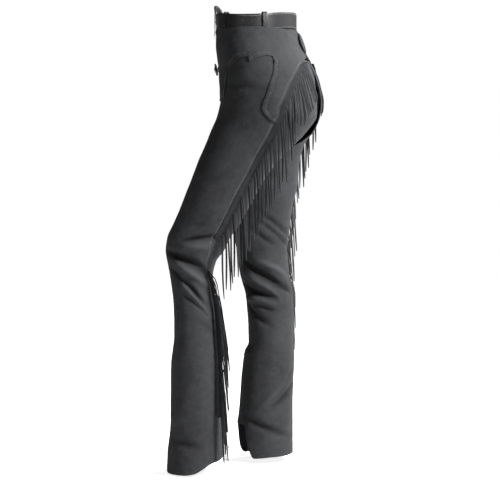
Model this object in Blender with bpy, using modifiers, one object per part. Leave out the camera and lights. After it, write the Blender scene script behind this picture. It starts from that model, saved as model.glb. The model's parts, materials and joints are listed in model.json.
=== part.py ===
"""Fringed leather show chaps, in the hollow form they have when worn, with their own belt.

Metres, +Z up. The wearer's left is +X and their front is -Y. The origin is the centre of the
belt's ring, level with the belt's middle at the front. The left knee is bent forward.
"""
import math
from collections import namedtuple

import bmesh
import bpy
import numpy as np
from mathutils import Matrix, Vector

# Leather thicknesses and the gaps between pieces
PANEL_LEATHER = 0.0018
YOKE_LEATHER = 0.0014
YOKE_GAP = 0.0007
FRINGE_LEATHER = 0.0013
FRINGE_GAP = 0.0012
SEAM_HALF_GAP = 0.0004

# Belt: a ring whose middle dips at the sides
BELT_HALF_WIDTH = 0.1384
BELT_HALF_DEPTH = 0.0884
BELT_HEIGHT = 0.038
BELT_LEATHER = 0.0035
BELT_SIDE_DIP = 0.010
BELT_SEGMENTS = 56
PANEL_TOP_BELOW_BELT = 0.0015

# Yoke: its top covers the belt's lower edge at the side
YOKE_TOP_FRONT = -0.026
YOKE_TOP_SIDE_RISE = 0.007
YOKE_SEAM_MARGIN = 0.15
YOKE_REACH = -0.240
CUTTER_DEPTH = 0.020
CUTTER_ROWS = 3
CUTTER_FOOT = -0.300

# Panel grid: cells between the outseam and the front, round the inside, and behind the outseam
FRONT_CELLS = 13
BACK_CELLS = 4
INNER_ANGLES = (-90, -100, -114, -130, -148, -166, -186, -208, -230, -252, -270)
CENTRE_FRONT = -90
CENTRE_BACK = -270
ROUNDNESS = 2.15

# Fringe strands
STRAND_WIDTH = 0.0042
STRIP_WIDTH = 0.009
STRAND_STEP_OUT = 0.0026
STRAND_FIRST_DROP = 0.005
STRAND_HOP_DROP = 0.010
STRAND_RING_SIZES = (1.0, 1.0, 0.95, 0.55)
STRAND_LENGTH_CHANGE = 0.05
STRAND_LENGTH_STEP = 2.4
LEG_CLEARANCE = 0.006

# Hardware
BUCKLE_WIDTH = 0.095
BUCKLE_HEIGHT = 0.076
BUCKLE_THICKNESS = 0.003
BUCKLE_RADIUS = 0.125
BUCKLE_FRONT = -0.0985
BUCKLE_SEGMENTS = 32
BUCKLE_OVAL_POWER = 0.8
BUCKLE_RINGS = ((0.0, 0.0), (0.55, 0.0), (0.84, 0.0), (0.90, 0.0012), (1.0, 0.0008))
CONCHO_RADIUS = 0.0145
CONCHO_SEGMENTS = 20
CONCHO_PROFILE = (
    (0.0, 0.0060), (0.0060, 0.0050), (0.0100, 0.0028), (0.0115, 0.0016), (CONCHO_RADIUS, 0.0014),
    (CONCHO_RADIUS, 0.0), (0.0, 0.0),
)
CONCHO_PLACE = (0.0, -0.0965, -0.110)
CONCHO_TILT = math.radians(10)
KNOT_SIZE = (0.015, 0.0095, 0.020)
KNOT_EDGE_RADIUS = 0.003
KNOT_BEHIND_CONCHO = 0.0025
ROSETTE_RADIUS = 0.024
ROSETTE_SCALLOPS = 16
ROSETTE_SCALLOP_DEPTH = 0.045
POINTS_PER_SCALLOP = 4
ROSETTE_THICKNESS = 0.0028
ROSETTE_PLACE = (0.0, 0.1050, -0.051)
ROSETTE_TILT = math.radians(19)
KEEPER_WIDTH = 0.011
KEEPER_LEATHER = 0.0022
KEEPER_GAP = 0.0012
KEEPERS = {"keeper_front": -36, "keeper_side": 24}

Section = namedtuple("Section", "z front back middle inner outer")
Seam = namedtuple("Seam", "z angle")
Edge = namedtuple("Edge", "angle z")
YokeEdge = namedtuple("YokeEdge", "share z")
Fold = namedtuple("Fold", "angle_1 z_1 angle_2 z_2 width rise")
Zone = namedtuple("Zone", "top bottom rows")
Hang = namedtuple("Hang", "stand lean hop")
Fringe = namedtuple(
    "Fringe", "top bottom strands turn_from turn_to hang lane_step lanes inner_lanes follows_seam")
Length = namedtuple("Length", "z metres")
Leg = namedtuple("Leg", "name side sections seam hem folds fringes")

# Horizontal cuts of one leg's leather: x is counted from the middle plane towards that leg
HIP = (
    Section(-0.020, -0.090, 0.090, 0.004, -0.130, 0.140),
    Section(-0.054, -0.090, 0.099, 0.004, -0.120, 0.150),
    Section(-0.085, -0.086, 0.114, 0.005, -0.100, 0.160),
    Section(-0.112, -0.082, 0.129, 0.010, -0.080, 0.166),
    Section(-0.135, -0.080, 0.137, 0.020, -0.050, 0.171),
)
LEFT_SECTIONS = HIP + (
    Section(-0.158, -0.076, 0.142, 0.036, -0.030, 0.175),
    Section(-0.181, -0.074, 0.147, 0.051, -0.010, 0.177),
    Section(-0.220, -0.079, 0.149, 0.073, 0.004, 0.177),
    Section(-0.251, -0.090, 0.131, 0.086, 0.006, 0.177),
    Section(-0.286, -0.104, 0.098, 0.091, 0.007, 0.178),
    Section(-0.331, -0.123, 0.055, 0.094, 0.010, 0.178),
    Section(-0.377, -0.141, 0.023, 0.095, 0.016, 0.174),
    Section(-0.423, -0.159, -0.002, 0.096, 0.023, 0.169),
    Section(-0.469, -0.179, -0.027, 0.097, 0.030, 0.164),
    Section(-0.498, -0.192, -0.047, 0.098, 0.035, 0.161),
    Section(-0.528, -0.196, -0.062, 0.098, 0.037, 0.159),
    Section(-0.554, -0.191, -0.081, 0.098, 0.038, 0.158),
    Section(-0.584, -0.185, -0.088, 0.099, 0.039, 0.159),
    Section(-0.664, -0.176, -0.078, 0.101, 0.039, 0.163),
    Section(-0.721, -0.175, -0.072, 0.103, 0.040, 0.166),
    Section(-0.788, -0.182, -0.065, 0.105, 0.039, 0.171),
    Section(-0.917, -0.183, -0.060, 0.107, 0.037, 0.177),
    Section(-0.998, -0.190, -0.061, 0.109, 0.035, 0.183),
    Section(-1.040, -0.191, -0.064, 0.110, 0.034, 0.186),
)
RIGHT_SECTIONS = HIP + (
    Section(-0.158, -0.078, 0.141, 0.036, -0.030, 0.174),
    Section(-0.181, -0.084, 0.143, 0.050, -0.010, 0.177),
    Section(-0.214, -0.095, 0.137, 0.072, 0.004, 0.177),
    Section(-0.250, -0.101, 0.121, 0.086, 0.006, 0.178),
    Section(-0.285, -0.101, 0.096, 0.090, 0.007, 0.177),
    Section(-0.333, -0.096, 0.083, 0.092, 0.010, 0.175),
    Section(-0.380, -0.091, 0.079, 0.093, 0.015, 0.172),
    Section(-0.428, -0.085, 0.068, 0.094, 0.022, 0.168),
    Section(-0.475, -0.077, 0.061, 0.095, 0.028, 0.163),
    Section(-0.540, -0.065, 0.055, 0.096, 0.035, 0.158),
    Section(-0.595, -0.057, 0.060, 0.096, 0.036, 0.157),
    Section(-0.650, -0.043, 0.069, 0.097, 0.037, 0.158),
    Section(-0.755, -0.037, 0.070, 0.099, 0.037, 0.162),
    Section(-0.778, -0.048, 0.071, 0.100, 0.037, 0.163),
    Section(-0.835, -0.055, 0.069, 0.101, 0.035, 0.168),
    Section(-0.919, -0.061, 0.067, 0.102, 0.033, 0.172),
    Section(-0.953, -0.066, 0.067, 0.103, 0.032, 0.174),
    Section(-1.040, -0.062, 0.068, 0.104, 0.031, 0.178),
)

# The outseam's way round the leg: it leaves the centre back under the belt, where the wing behind it begins
SEAM_START = -0.084
WING_TOP = -0.0905
LEFT_SEAM = (
    Seam(-0.020, 90), Seam(SEAM_START, 90), Seam(-0.092, 76), Seam(-0.110, 57), Seam(-0.136, 43),
    Seam(-0.161, 34), Seam(-0.204, 22), Seam(-0.235, 20), Seam(-0.290, 26), Seam(-0.360, 36),
    Seam(-0.440, 35), Seam(-0.505, 37), Seam(-0.532, 44), Seam(-0.565, 58), Seam(-0.610, 70),
    Seam(-0.680, 73), Seam(-0.800, 67), Seam(-0.910, 64), Seam(-1.040, 67),
)
RIGHT_SEAM = (
    Seam(-0.020, 90), Seam(SEAM_START, 90), Seam(-0.092, 76), Seam(-0.110, 57), Seam(-0.136, 43),
    Seam(-0.161, 34), Seam(-0.204, 24), Seam(-0.250, 24), Seam(-0.300, 30), Seam(-0.360, 37),
    Seam(-0.420, 42), Seam(-0.540, 46), Seam(-0.640, 42), Seam(-0.800, 38), Seam(-1.040, 38),
)

# Top edge of the leather between the legs: the groin, the inner thigh and below the seat
CROTCH_EDGE = (
    Edge(-90, -0.184), Edge(-100, -0.200), Edge(-114, -0.215), Edge(-130, -0.235),
    Edge(-148, -0.255), Edge(-166, -0.268), Edge(-186, -0.280), Edge(-208, -0.288),
    Edge(-230, -0.288), Edge(-252, -0.278), Edge(-270, -0.262),
)

# Hems: raised at the front, where the foot comes out
LEFT_HEM = (
    Edge(-294, -1.005), Edge(-270, -1.000), Edge(-230, -1.006), Edge(-180, -1.024),
    Edge(-120, -1.033), Edge(-106, -1.022), Edge(-94, -0.957), Edge(-88, -0.957),
    Edge(-76, -1.030), Edge(-50, -1.034), Edge(-10, -1.034), Edge(10, -1.030),
    Edge(26, -1.020), Edge(48, -1.008), Edge(70, -1.005),
)
RIGHT_HEM = (
    Edge(-294, -1.022), Edge(-270, -1.021), Edge(-201, -1.023), Edge(-166, -1.027),
    Edge(-154, -1.005), Edge(-144, -0.948), Edge(-96, -0.949), Edge(-80, -1.010),
    Edge(-60, -1.028), Edge(0, -1.029), Edge(66, -1.022),
)

# Largest folds of the leather: a negative rise is a trough
LEFT_FOLDS = (
    Fold(-14, -0.500, 32, -0.492, 0.008, -0.004),
    Fold(-12, -0.517, 30, -0.516, 0.015, 0.005),
    Fold(-46, -0.528, 44, -0.566, 0.013, -0.007),
    Fold(-29, -0.552, 50, -0.602, 0.012, 0.004),
    Fold(-22, -0.580, 40, -0.641, 0.011, -0.005),
    Fold(-10, -0.602, 36, -0.656, 0.011, 0.003),
    Fold(-150, -0.520, -215, -0.552, 0.014, -0.006),
    Fold(-140, -0.560, -210, -0.600, 0.013, 0.004),
    Fold(-35, -0.957, 17, -0.970, 0.012, -0.003),
)
RIGHT_FOLDS = (
    Fold(-184, -0.452, -262, -0.512, 0.012, -0.003),
    Fold(-184, -0.560, -242, -0.592, 0.012, 0.004),
    Fold(-147, -0.566, -240, -0.628, 0.013, -0.008),
    Fold(-146, -0.590, -205, -0.634, 0.012, 0.003),
    Fold(-125, -0.618, -180, -0.628, 0.013, -0.005),
    Fold(-125, -0.650, -190, -0.650, 0.010, 0.004),
    Fold(20, -0.560, -50, -0.600, 0.014, -0.006),
    Fold(30, -0.610, -40, -0.650, 0.013, -0.004),
    Fold(-206, -0.903, -256, -0.862, 0.013, -0.005),
    Fold(-156, -0.938, -234, -0.974, 0.013, -0.004),
)
FOLD_ARC_RADIUS = 0.070
FOLD_END_SHARE = 0.3

# Fringe in each outseam. Its strip stands up from the leather by an angle, in degrees, and its strands
# lean out as they fall, after a short hop away from the strip. It lies flat on the hip, and turns to its
# own hang between two heights. The strands keep apart by the lanes that they hang in, of which some
# may lie inward of the strip
HIP_HANG = Hang(22, 0.03, 0.0005)
LEFT_FRINGES = {
    "fringe_thigh": Fringe(-0.096, -0.496, 38, -0.60, -0.70, HIP_HANG, 0.0024, 3, 0, False),
    "fringe_calf": Fringe(-0.572, -0.905, 31, -0.20, -0.30, Hang(120, 0.11, 0.002), 0.0038, 4, 2, True),
}
RIGHT_FRINGES = {
    "fringe_thigh": Fringe(-0.096, -0.520, 34, -0.24, -0.34, Hang(105, 0.11, 0.002), 0.0042, 5, 1, False),
    "fringe_calf": Fringe(-0.536, -0.905, 33, -0.20, -0.30, Hang(120, 0.08, 0.004), 0.0032, 5, 1, True),
}

LEFT = Leg("left", 1, LEFT_SECTIONS, LEFT_SEAM, LEFT_HEM, LEFT_FOLDS, LEFT_FRINGES)
RIGHT = Leg("right", -1, RIGHT_SECTIONS, RIGHT_SEAM, RIGHT_HEM, RIGHT_FOLDS, RIGHT_FRINGES)

# Lower edge of the yoke, by the share of the way from the outseam to the front
YOKE_EDGE = (
    YokeEdge(0.000, -0.236), YokeEdge(0.055, -0.231), YokeEdge(0.110, -0.223),
    YokeEdge(0.150, -0.214), YokeEdge(0.178, -0.203), YokeEdge(0.188, -0.190),
    YokeEdge(0.194, -0.165), YokeEdge(0.202, -0.140), YokeEdge(0.220, -0.121),
    YokeEdge(0.257, -0.105), YokeEdge(0.300, -0.094), YokeEdge(0.345, -0.088),
    YokeEdge(0.395, -0.086), YokeEdge(0.430, -0.090), YokeEdge(0.452, -0.099),
    YokeEdge(0.480, -0.091), YokeEdge(0.525, -0.088), YokeEdge(0.565, -0.091),
    YokeEdge(0.592, -0.100), YokeEdge(0.612, -0.117), YokeEdge(0.640, -0.136),
    YokeEdge(0.660, -0.150), YokeEdge(0.676, -0.168), YokeEdge(0.695, -0.182),
    YokeEdge(0.750, -0.187), YokeEdge(1.000, -0.180),
)

# Rows of the panel grid, closer together at the bent knee
ZONES = (
    Zone(-0.032, -0.084, 2),
    Zone(-0.084, -0.110, 4),
    Zone(-0.110, -0.290, 7),
    Zone(-0.290, -0.480, 5),
    Zone(-0.480, -0.680, 11),
    Zone(-0.680, -0.920, 5),
)
HEM_ROWS = 4

FRINGE_LENGTHS = (
    Length(-0.095, 0.078), Length(-0.160, 0.100), Length(-0.230, 0.130), Length(-0.420, 0.138),
    Length(-0.560, 0.130), Length(-1.000, 0.126),
)
FLOOR_CLEAR_HEIGHT = -1.031

LEATHER_COLOUR = (0.070, 0.071, 0.074, 1.0)
BELT_COLOUR = (0.020, 0.020, 0.021, 1.0)
SILVER_COLOUR = (0.72, 0.72, 0.73, 1.0)


def smooth_value(points, x):
    """Height at x of a smooth curve through (x, y) pairs that never overshoots them."""
    pairs = sorted(points)
    xs = [pair[0] for pair in pairs]
    ys = [pair[1] for pair in pairs]
    if x <= xs[0]:
        return ys[0]
    if x >= xs[-1]:
        return ys[-1]
    steps = [(ys[i + 1] - ys[i]) / (xs[i + 1] - xs[i]) for i in range(len(xs) - 1)]

    def slope(i):
        if i in (0, len(xs) - 1):
            return steps[min(i, len(steps) - 1)]
        before, after = steps[i - 1], steps[i]
        return 0.0 if before * after <= 0 else 2 * before * after / (before + after)

    k = max(i for i in range(len(xs) - 1) if xs[i] <= x)
    span = xs[k + 1] - xs[k]
    t = (x - xs[k]) / span
    rise = ys[k + 1] - ys[k]
    start = slope(k) * span
    end = slope(k + 1) * span
    return ys[k] + t * start + t * t * (3 * rise - 2 * start - end) + t ** 3 * (start + end - 2 * rise)


def section_at(leg, z):
    """The leg's horizontal cut at height z."""
    columns = zip(*leg.sections)
    heights = next(columns)
    return Section(z, *(smooth_value(zip(heights, column), z) for column in columns))


def seam_angle(leg, z):
    return smooth_value(leg.seam, z)


def signed_power(value, power):
    return math.copysign(abs(value) ** power, value)


def fold_rise(leg, angle, z):
    """How far the leg's folds push the leather out at an angle and height."""
    total = 0.0
    for fold in leg.folds:
        along = Vector((math.radians(fold.angle_2 - fold.angle_1) * FOLD_ARC_RADIUS, fold.z_2 - fold.z_1))
        turned = (angle - fold.angle_1 + 180) % 360 - 180
        away = Vector((math.radians(turned) * FOLD_ARC_RADIUS, z - fold.z_1))
        share = away.dot(along) / along.length_squared
        if -FOLD_END_SHARE < share < 1 + FOLD_END_SHARE:
            across = (away - along * share).length / fold.width
            taper = math.cos(math.pi * (share - 0.5) / (1 + 2 * FOLD_END_SHARE))
            total += fold.rise * taper * math.exp(-across * across)
    return total


def ring_point(leg, angle, z):
    """Point of the smooth leg form: a rounded ring whose four quarters differ."""
    cut = section_at(leg, z)
    cosine = math.cos(math.radians(angle))
    sine = math.sin(math.radians(angle))
    reach = cut.outer - cut.middle if cosine > 0 else cut.middle - cut.inner
    half_depth = (cut.back - cut.front) / 2
    x = cut.middle + reach * signed_power(cosine, 2 / ROUNDNESS)
    y = (cut.back + cut.front) / 2 + half_depth * signed_power(sine, 2 / ROUNDNESS)
    return Vector((leg.side * x, y, z))


def outward(leg, angle, z):
    """Unit normal of the smooth leg form."""
    around = ring_point(leg, angle + 1, z) - ring_point(leg, angle - 1, z)
    upward = ring_point(leg, angle, z + 0.004) - ring_point(leg, angle, z - 0.004)
    return (around.cross(upward) * leg.side).normalized()


def panel_point(leg, angle, z):
    """Outer surface of the leather, folds included."""
    point = ring_point(leg, angle, z)
    return point + outward(leg, angle, z) * fold_rise(leg, angle, z)


def gap_angle(leg, z):
    """Angle from the outseam's middle to a panel's edge, for an even gap along its way."""
    angle = seam_angle(leg, z)
    low, high = z - 0.003, z + 0.003
    along = ring_point(leg, seam_angle(leg, high), high) - ring_point(leg, seam_angle(leg, low), low)
    around = ring_point(leg, angle + 1, z) - ring_point(leg, angle - 1, z)
    across = around - along * (around.dot(along) / along.length_squared)
    return 2 * SEAM_HALF_GAP / max(across.length, 0.2 * around.length)


def front_angle(leg, share, z):
    """Angle at a share of the way from the outseam forward to the centre front."""
    start = seam_angle(leg, z) - gap_angle(leg, z)
    return start + (CENTRE_FRONT - start) * share


def back_angle(leg, share, z):
    """Angle at a share of the way from the centre back to the outseam."""
    end = seam_angle(leg, z) + gap_angle(leg, z) - 360
    return CENTRE_BACK + (end - CENTRE_BACK) * share


def belt_middle(angle):
    return -BELT_SIDE_DIP * math.cos(math.radians(angle)) ** 2


def panel_rows():
    """Heights of the panel's rows, from under the belt to where the hem rows begin."""
    heights = []
    for zone in ZONES:
        step = (zone.bottom - zone.top) / zone.rows
        heights += [zone.top + step * k for k in range(zone.rows)]
    return heights + [ZONES[-1].bottom]


def panel_columns(leg):
    """For each column: the function that gives its angle, and its first row."""
    rows = panel_rows()
    seat_row = rows.index(min(rows, key=lambda z: abs(z - WING_TOP)))
    columns = []
    for k in range(FRONT_CELLS + 1):
        columns.append((lambda z, share=k / FRONT_CELLS: front_angle(leg, share, z), 0, None))
    for angle in INNER_ANGLES[1:-1]:
        edge = smooth_value(CROTCH_EDGE, angle)
        first = rows.index(min(rows, key=lambda z: abs(z - edge)))
        columns.append((lambda z, fixed=angle: fixed, first, edge))
    for k in range(BACK_CELLS + 1):
        columns.append((lambda z, share=k / BACK_CELLS: back_angle(leg, share, z), seat_row, None))
    return columns


def column_heights(leg, angle_at, first, edge):
    """Heights of one column's points; None stands where the leather is cut away."""
    heights = list(panel_rows())
    if first == 0:
        angle = angle_at(heights[0])
        heights[0] = belt_middle(angle) - BELT_HEIGHT / 2 - PANEL_TOP_BELOW_BELT
    if edge is not None:
        heights[first] = edge
    last = heights[-1]
    hem = smooth_value(leg.hem, angle_at(last))
    for k in range(1, HEM_ROWS + 1):
        heights.append(last + (hem - last) * k / HEM_ROWS)
    return [z if row >= first else None for row, z in enumerate(heights)]


def new_object(name, mesh, material, collection):
    item = bpy.data.objects.new(name, mesh)
    item.data.materials.append(material)
    collection.objects.link(item)
    return item


def mesh_from(name, shape):
    mesh = bpy.data.meshes.new(name)
    shape.to_mesh(mesh)
    shape.free()
    return mesh


def solidify(item, thickness, offset):
    skin = item.modifiers.new("leather", "SOLIDIFY")
    skin.thickness = thickness
    skin.offset = offset
    skin.use_even_offset = True
    return skin


def face_outward(shape, corners, side):
    """Add a face whose corners run counterclockwise, seen from outside, on the wearer's left."""
    shape.faces.new(corners if side > 0 else corners[::-1])


def panel_points(leg):
    """Grid of the leg panel's outer points, column by column; None where it is cut away."""
    columns = []
    for angle_at, first, edge in panel_columns(leg):
        heights = column_heights(leg, angle_at, first, edge)
        columns.append([None if z is None else panel_point(leg, angle_at(z), z) for z in heights])
    return columns


def add_skin(shape, columns, side):
    """Cover a grid of points with triangles, each cell split along its shorter diagonal."""
    corners = [[None if point is None else shape.verts.new(point) for point in column] for column in columns]
    for one, two in zip(corners, corners[1:]):
        for a, b, c, d in zip(one, two, two[1:], one[1:]):
            present = [corner for corner in (a, b, c, d) if corner is not None]
            if len(present) == 3:
                face_outward(shape, present, side)
            elif len(present) == 4 and (a.co - c.co).length < (b.co - d.co).length:
                face_outward(shape, [a, b, c], side)
                face_outward(shape, [a, c, d], side)
            elif len(present) == 4:
                face_outward(shape, [a, b, d], side)
                face_outward(shape, [b, c, d], side)


def build_leg(leg, material, collection):
    """One leg panel: it wraps the leg from outseam to outseam, and is open over the seat."""
    shape = bmesh.new()
    add_skin(shape, panel_points(leg), leg.side)
    item = new_object(f"leg_{leg.name}", mesh_from(f"leg_{leg.name}", shape), material, collection)
    solidify(item, PANEL_LEATHER, -1)
    return item


def yoke_top_at(angle):
    return YOKE_TOP_FRONT + YOKE_TOP_SIDE_RISE * math.cos(math.radians(angle)) ** 2


def yoke_columns(leg):
    """The leg panel's front columns, down past the yoke's lowest point, with its own top row."""
    last = sum(z > YOKE_REACH for z in panel_rows())
    columns = []
    for k, column in enumerate(panel_points(leg)[:FRONT_CELLS + 1]):
        top = yoke_top_at(front_angle(leg, k / FRONT_CELLS, YOKE_TOP_FRONT))
        if top > column[0].z:
            start = ring_point(leg, front_angle(leg, k / FRONT_CELLS, top), top)
        else:
            start = column[0].lerp(column[1], (column[0].z - top) / (column[0].z - column[1].z))
        columns.append([start] + column[1:last + 1])
    columns[0] = [a.lerp(b, YOKE_SEAM_MARGIN) for a, b in zip(columns[0], columns[1])]
    return columns


def build_yoke_cutter(leg, collection):
    """Thick skirt below the yoke's scalloped lower edge."""
    shape = bmesh.new()
    sections = []
    shares = [-0.05] + [edge.share for edge in YOKE_EDGE] + [1.05]
    for share in shares:
        edge = smooth_value(YOKE_EDGE, share)
        levels = [edge + (CUTTER_FOOT - edge) * k / CUTTER_ROWS for k in range(CUTTER_ROWS + 1)]
        rims = []
        for depth, order in ((CUTTER_DEPTH, levels), (-CUTTER_DEPTH, levels[::-1])):
            for z in order:
                angle = front_angle(leg, share, z)
                rims.append(shape.verts.new(ring_point(leg, angle, z) + outward(leg, angle, z) * depth))
        sections.append(rims)
    for one, two in zip(sections, sections[1:]):
        for k in range(len(one)):
            n = (k + 1) % len(one)
            shape.faces.new([one[k], two[k], two[n], one[n]])
    shape.faces.new(sections[0])
    shape.faces.new(sections[-1][::-1])
    bmesh.ops.triangulate(shape, faces=shape.faces)
    bmesh.ops.recalc_face_normals(shape, faces=shape.faces)
    cutter = bpy.data.objects.new(f"yoke_cutter_{leg.name}", mesh_from("yoke cutter", shape))
    collection.objects.link(cutter)
    cutter.hide_render = True
    cutter.display_type = "WIRE"
    return cutter


def build_yoke(leg, material, collection, cutters):
    """Yoke with a scalloped lower edge: the panel's points moved out over the hip."""
    shape = bmesh.new()
    add_skin(shape, yoke_columns(leg), leg.side)
    shape.normal_update()
    lifts = [vert.normal * YOKE_GAP for vert in shape.verts]
    for vert, lift in zip(shape.verts, lifts):
        vert.co += lift
    item = new_object(f"yoke_{leg.name}", mesh_from(f"yoke_{leg.name}", shape), material, collection)
    solidify(item, YOKE_LEATHER, 1)
    cut = item.modifiers.new("scallops", "BOOLEAN")
    cut.operation = "DIFFERENCE"
    cut.object = build_yoke_cutter(leg, cutters)
    return item


def outside_leg(leg, point, clearance):
    """Move a point level with the floor until it is clear of the leg's form."""
    cut = section_at(leg, point.z)
    x = leg.side * point.x - cut.middle
    reach = cut.outer - cut.middle if x > 0 else cut.middle - cut.inner
    half_depth = (cut.back - cut.front) / 2
    y = point.y - (cut.back + cut.front) / 2
    size = (abs(x / reach) ** ROUNDNESS + abs(y / half_depth) ** ROUNDNESS) ** (1 / ROUNDNESS)
    wanted = 1 + clearance / half_depth
    if size >= wanted:
        return point
    scale = wanted / size
    middle_y = (cut.back + cut.front) / 2
    return Vector((leg.side * (cut.middle + x * scale), middle_y + y * scale, point.z))


def hang_at(fringe, z):
    """How the fringe hangs where it is rooted at height z."""
    share = smooth_value(((0.0, 0.0), (fringe.turn_from, 0.0), (fringe.turn_to, 1.0), (-1.0, 1.0)), z)
    return Hang(*[hip + (own - hip) * share for hip, own in zip(HIP_HANG, fringe.hang)])


def seam_frame(leg, fringe, z):
    """On the outseam at height z: its place, the way the strip stands out, and the way away from the leg."""
    angle = seam_angle(leg, z)
    normal = outward(leg, angle, z)
    level_normal = Vector((normal.x, normal.y, 0)).normalized()
    rearward = Vector((0, 0, 1)).cross(level_normal) * leg.side
    stand = math.radians(hang_at(fringe, z).stand)
    out = rearward * math.cos(stand) + level_normal * math.sin(stand)
    away = level_normal * math.cos(stand) - rearward * math.sin(stand)
    return panel_point(leg, angle, z) + normal * FRINGE_GAP, out, away


def strip_heights(leg, fringe):
    """Heights that share the seam's length evenly among the strands."""
    samples = np.linspace(fringe.top, fringe.bottom, 120)
    points = [ring_point(leg, seam_angle(leg, z), z) for z in samples]
    lengths = np.cumsum([0.0] + [(b - a).length for a, b in zip(points, points[1:])])
    return np.interp(np.linspace(0, lengths[-1], fringe.strands + 1), lengths, samples)


def strand_rings(leg, fringe, number, high, low):
    """Four-cornered rings down one strand, from its first free ring to its tip."""
    middle_height = (high + low) / 2
    root, out, away = seam_frame(leg, fringe, middle_height)
    hang = hang_at(fringe, middle_height)
    change = STRAND_LENGTH_CHANGE * math.sin(number * STRAND_LENGTH_STEP)
    length = smooth_value(FRINGE_LENGTHS, low) * (1 + change)
    tip = max(low - length, FLOOR_CLEAR_HEIGHT)
    lane = number % fringe.lanes - fringe.inner_lanes
    first = low - STRAND_FIRST_DROP
    levels = (first, first - STRAND_HOP_DROP, (first + tip) / 2, tip)
    rings = []
    for z, size in zip(levels, STRAND_RING_SIZES):
        place = seam_frame(leg, fringe, max(z, fringe.bottom))[0] if fringe.follows_seam else root
        away_from_strip = hang.lean * (first - z) + hang.hop * min((first - z) / STRAND_HOP_DROP, 1)
        reach = FRINGE_LEATHER + STRIP_WIDTH + STRAND_STEP_OUT + STRAND_WIDTH / 2 + away_from_strip
        middle = place + out * reach
        middle.z = z
        middle = outside_leg(leg, middle, LEG_CLEARANCE) + away * lane * fringe.lane_step
        wide = out * STRAND_WIDTH / 2 * size
        flat = away * FRINGE_LEATHER / 2
        outer, inner = middle + wide, middle - wide
        rings.append([outer + flat, outer - flat, inner - flat, inner + flat])
    return rings


def add_strand_sides(shape, ring, following, side):
    """Join two rings of a strand; its two flat sides are split the same way, so they never meet."""
    for k in range(4):
        n = (k + 1) % 4
        if k == 3:
            face_outward(shape, [ring[k], following[k], ring[n]], side)
            face_outward(shape, [following[k], following[n], ring[n]], side)
        else:
            face_outward(shape, [ring[k], following[k], following[n]], side)
            face_outward(shape, [ring[k], following[n], ring[n]], side)


def build_fringe(leg, name, fringe, material, collection):
    """Comb of strands: each cell of the strip's outer edge runs on into one strand."""
    shape = bmesh.new()
    heights = strip_heights(leg, fringe)
    stations = []
    for z in heights:
        place, out, away = seam_frame(leg, fringe, z)
        half = away * FRINGE_LEATHER / 2
        inner = place + out * FRINGE_LEATHER
        outer = inner + out * STRIP_WIDTH
        corners = (inner + half, inner - half, outer + half, outer - half)
        stations.append([shape.verts.new(corner) for corner in corners])
    for number, (upper, lower) in enumerate(zip(stations, stations[1:])):
        a, b, c, d = upper
        e, f, g, h = lower
        face_outward(shape, [a, e, g, c], leg.side)
        face_outward(shape, [d, h, f, b], leg.side)
        face_outward(shape, [b, f, e, a], leg.side)
        ring = [c, d, h, g]
        for corners in strand_rings(leg, fringe, number, heights[number], heights[number + 1]):
            following = [shape.verts.new(corner) for corner in corners]
            add_strand_sides(shape, ring, following, leg.side)
            ring = following
        face_outward(shape, ring[::-1], leg.side)
    a, b, c, d = stations[0]
    face_outward(shape, [a, c, d, b], leg.side)
    a, b, c, d = stations[-1]
    face_outward(shape, [a, b, d, c], leg.side)
    title = f"{name}_{leg.name}"
    return new_object(title, mesh_from(title, shape), material, collection)


def belt_point(angle, level):
    """Point of the belt's outer face."""
    x = BELT_HALF_WIDTH * signed_power(math.cos(math.radians(angle)), 2 / ROUNDNESS)
    y = BELT_HALF_DEPTH * signed_power(math.sin(math.radians(angle)), 2 / ROUNDNESS)
    return Vector((x, y, belt_middle(angle) + level))


def build_belt(material, collection):
    shape = bmesh.new()
    rings = []
    for k in range(BELT_SEGMENTS):
        angle = 360 * k / BELT_SEGMENTS
        pair = [shape.verts.new(belt_point(angle, level)) for level in (-BELT_HEIGHT / 2, BELT_HEIGHT / 2)]
        rings.append(pair)
    for k, (low, high) in enumerate(rings):
        next_low, next_high = rings[(k + 1) % BELT_SEGMENTS]
        shape.faces.new([low, next_low, next_high, high])
    item = new_object("belt", mesh_from("belt", shape), material, collection)
    solidify(item, BELT_LEATHER, -1)
    return item


def build_keeper(name, angle, material, collection):
    """Leather loop over the belt: it rises from the yoke's top edge and folds down inside."""
    shape = bmesh.new()
    middle = belt_point(angle, 0.0)
    ahead = belt_point(angle + 1, 0.0) - belt_point(angle - 1, 0.0)
    ahead.z = 0
    ahead.normalize()
    out = ahead.cross(Vector((0, 0, 1)))
    crown = BELT_HEIGHT / 2 + KEEPER_GAP
    foot = yoke_top_at(angle) + KEEPER_GAP - middle.z
    inside = -BELT_LEATHER - KEEPER_GAP
    profile = ((KEEPER_GAP, foot), (KEEPER_GAP, crown), (inside, crown), (inside, -BELT_HEIGHT / 2))
    ends = []
    for shift in (-KEEPER_WIDTH / 2, KEEPER_WIDTH / 2):
        line = [middle + ahead * shift + out * depth + Vector((0, 0, level)) for depth, level in profile]
        ends.append([shape.verts.new(point) for point in line])
    near, far = ends
    for k in range(len(profile) - 1):
        shape.faces.new([near[k], far[k], far[k + 1], near[k + 1]])
    item = new_object(name, mesh_from(name, shape), material, collection)
    solidify(item, KEEPER_LEATHER, 1)
    return item


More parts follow.
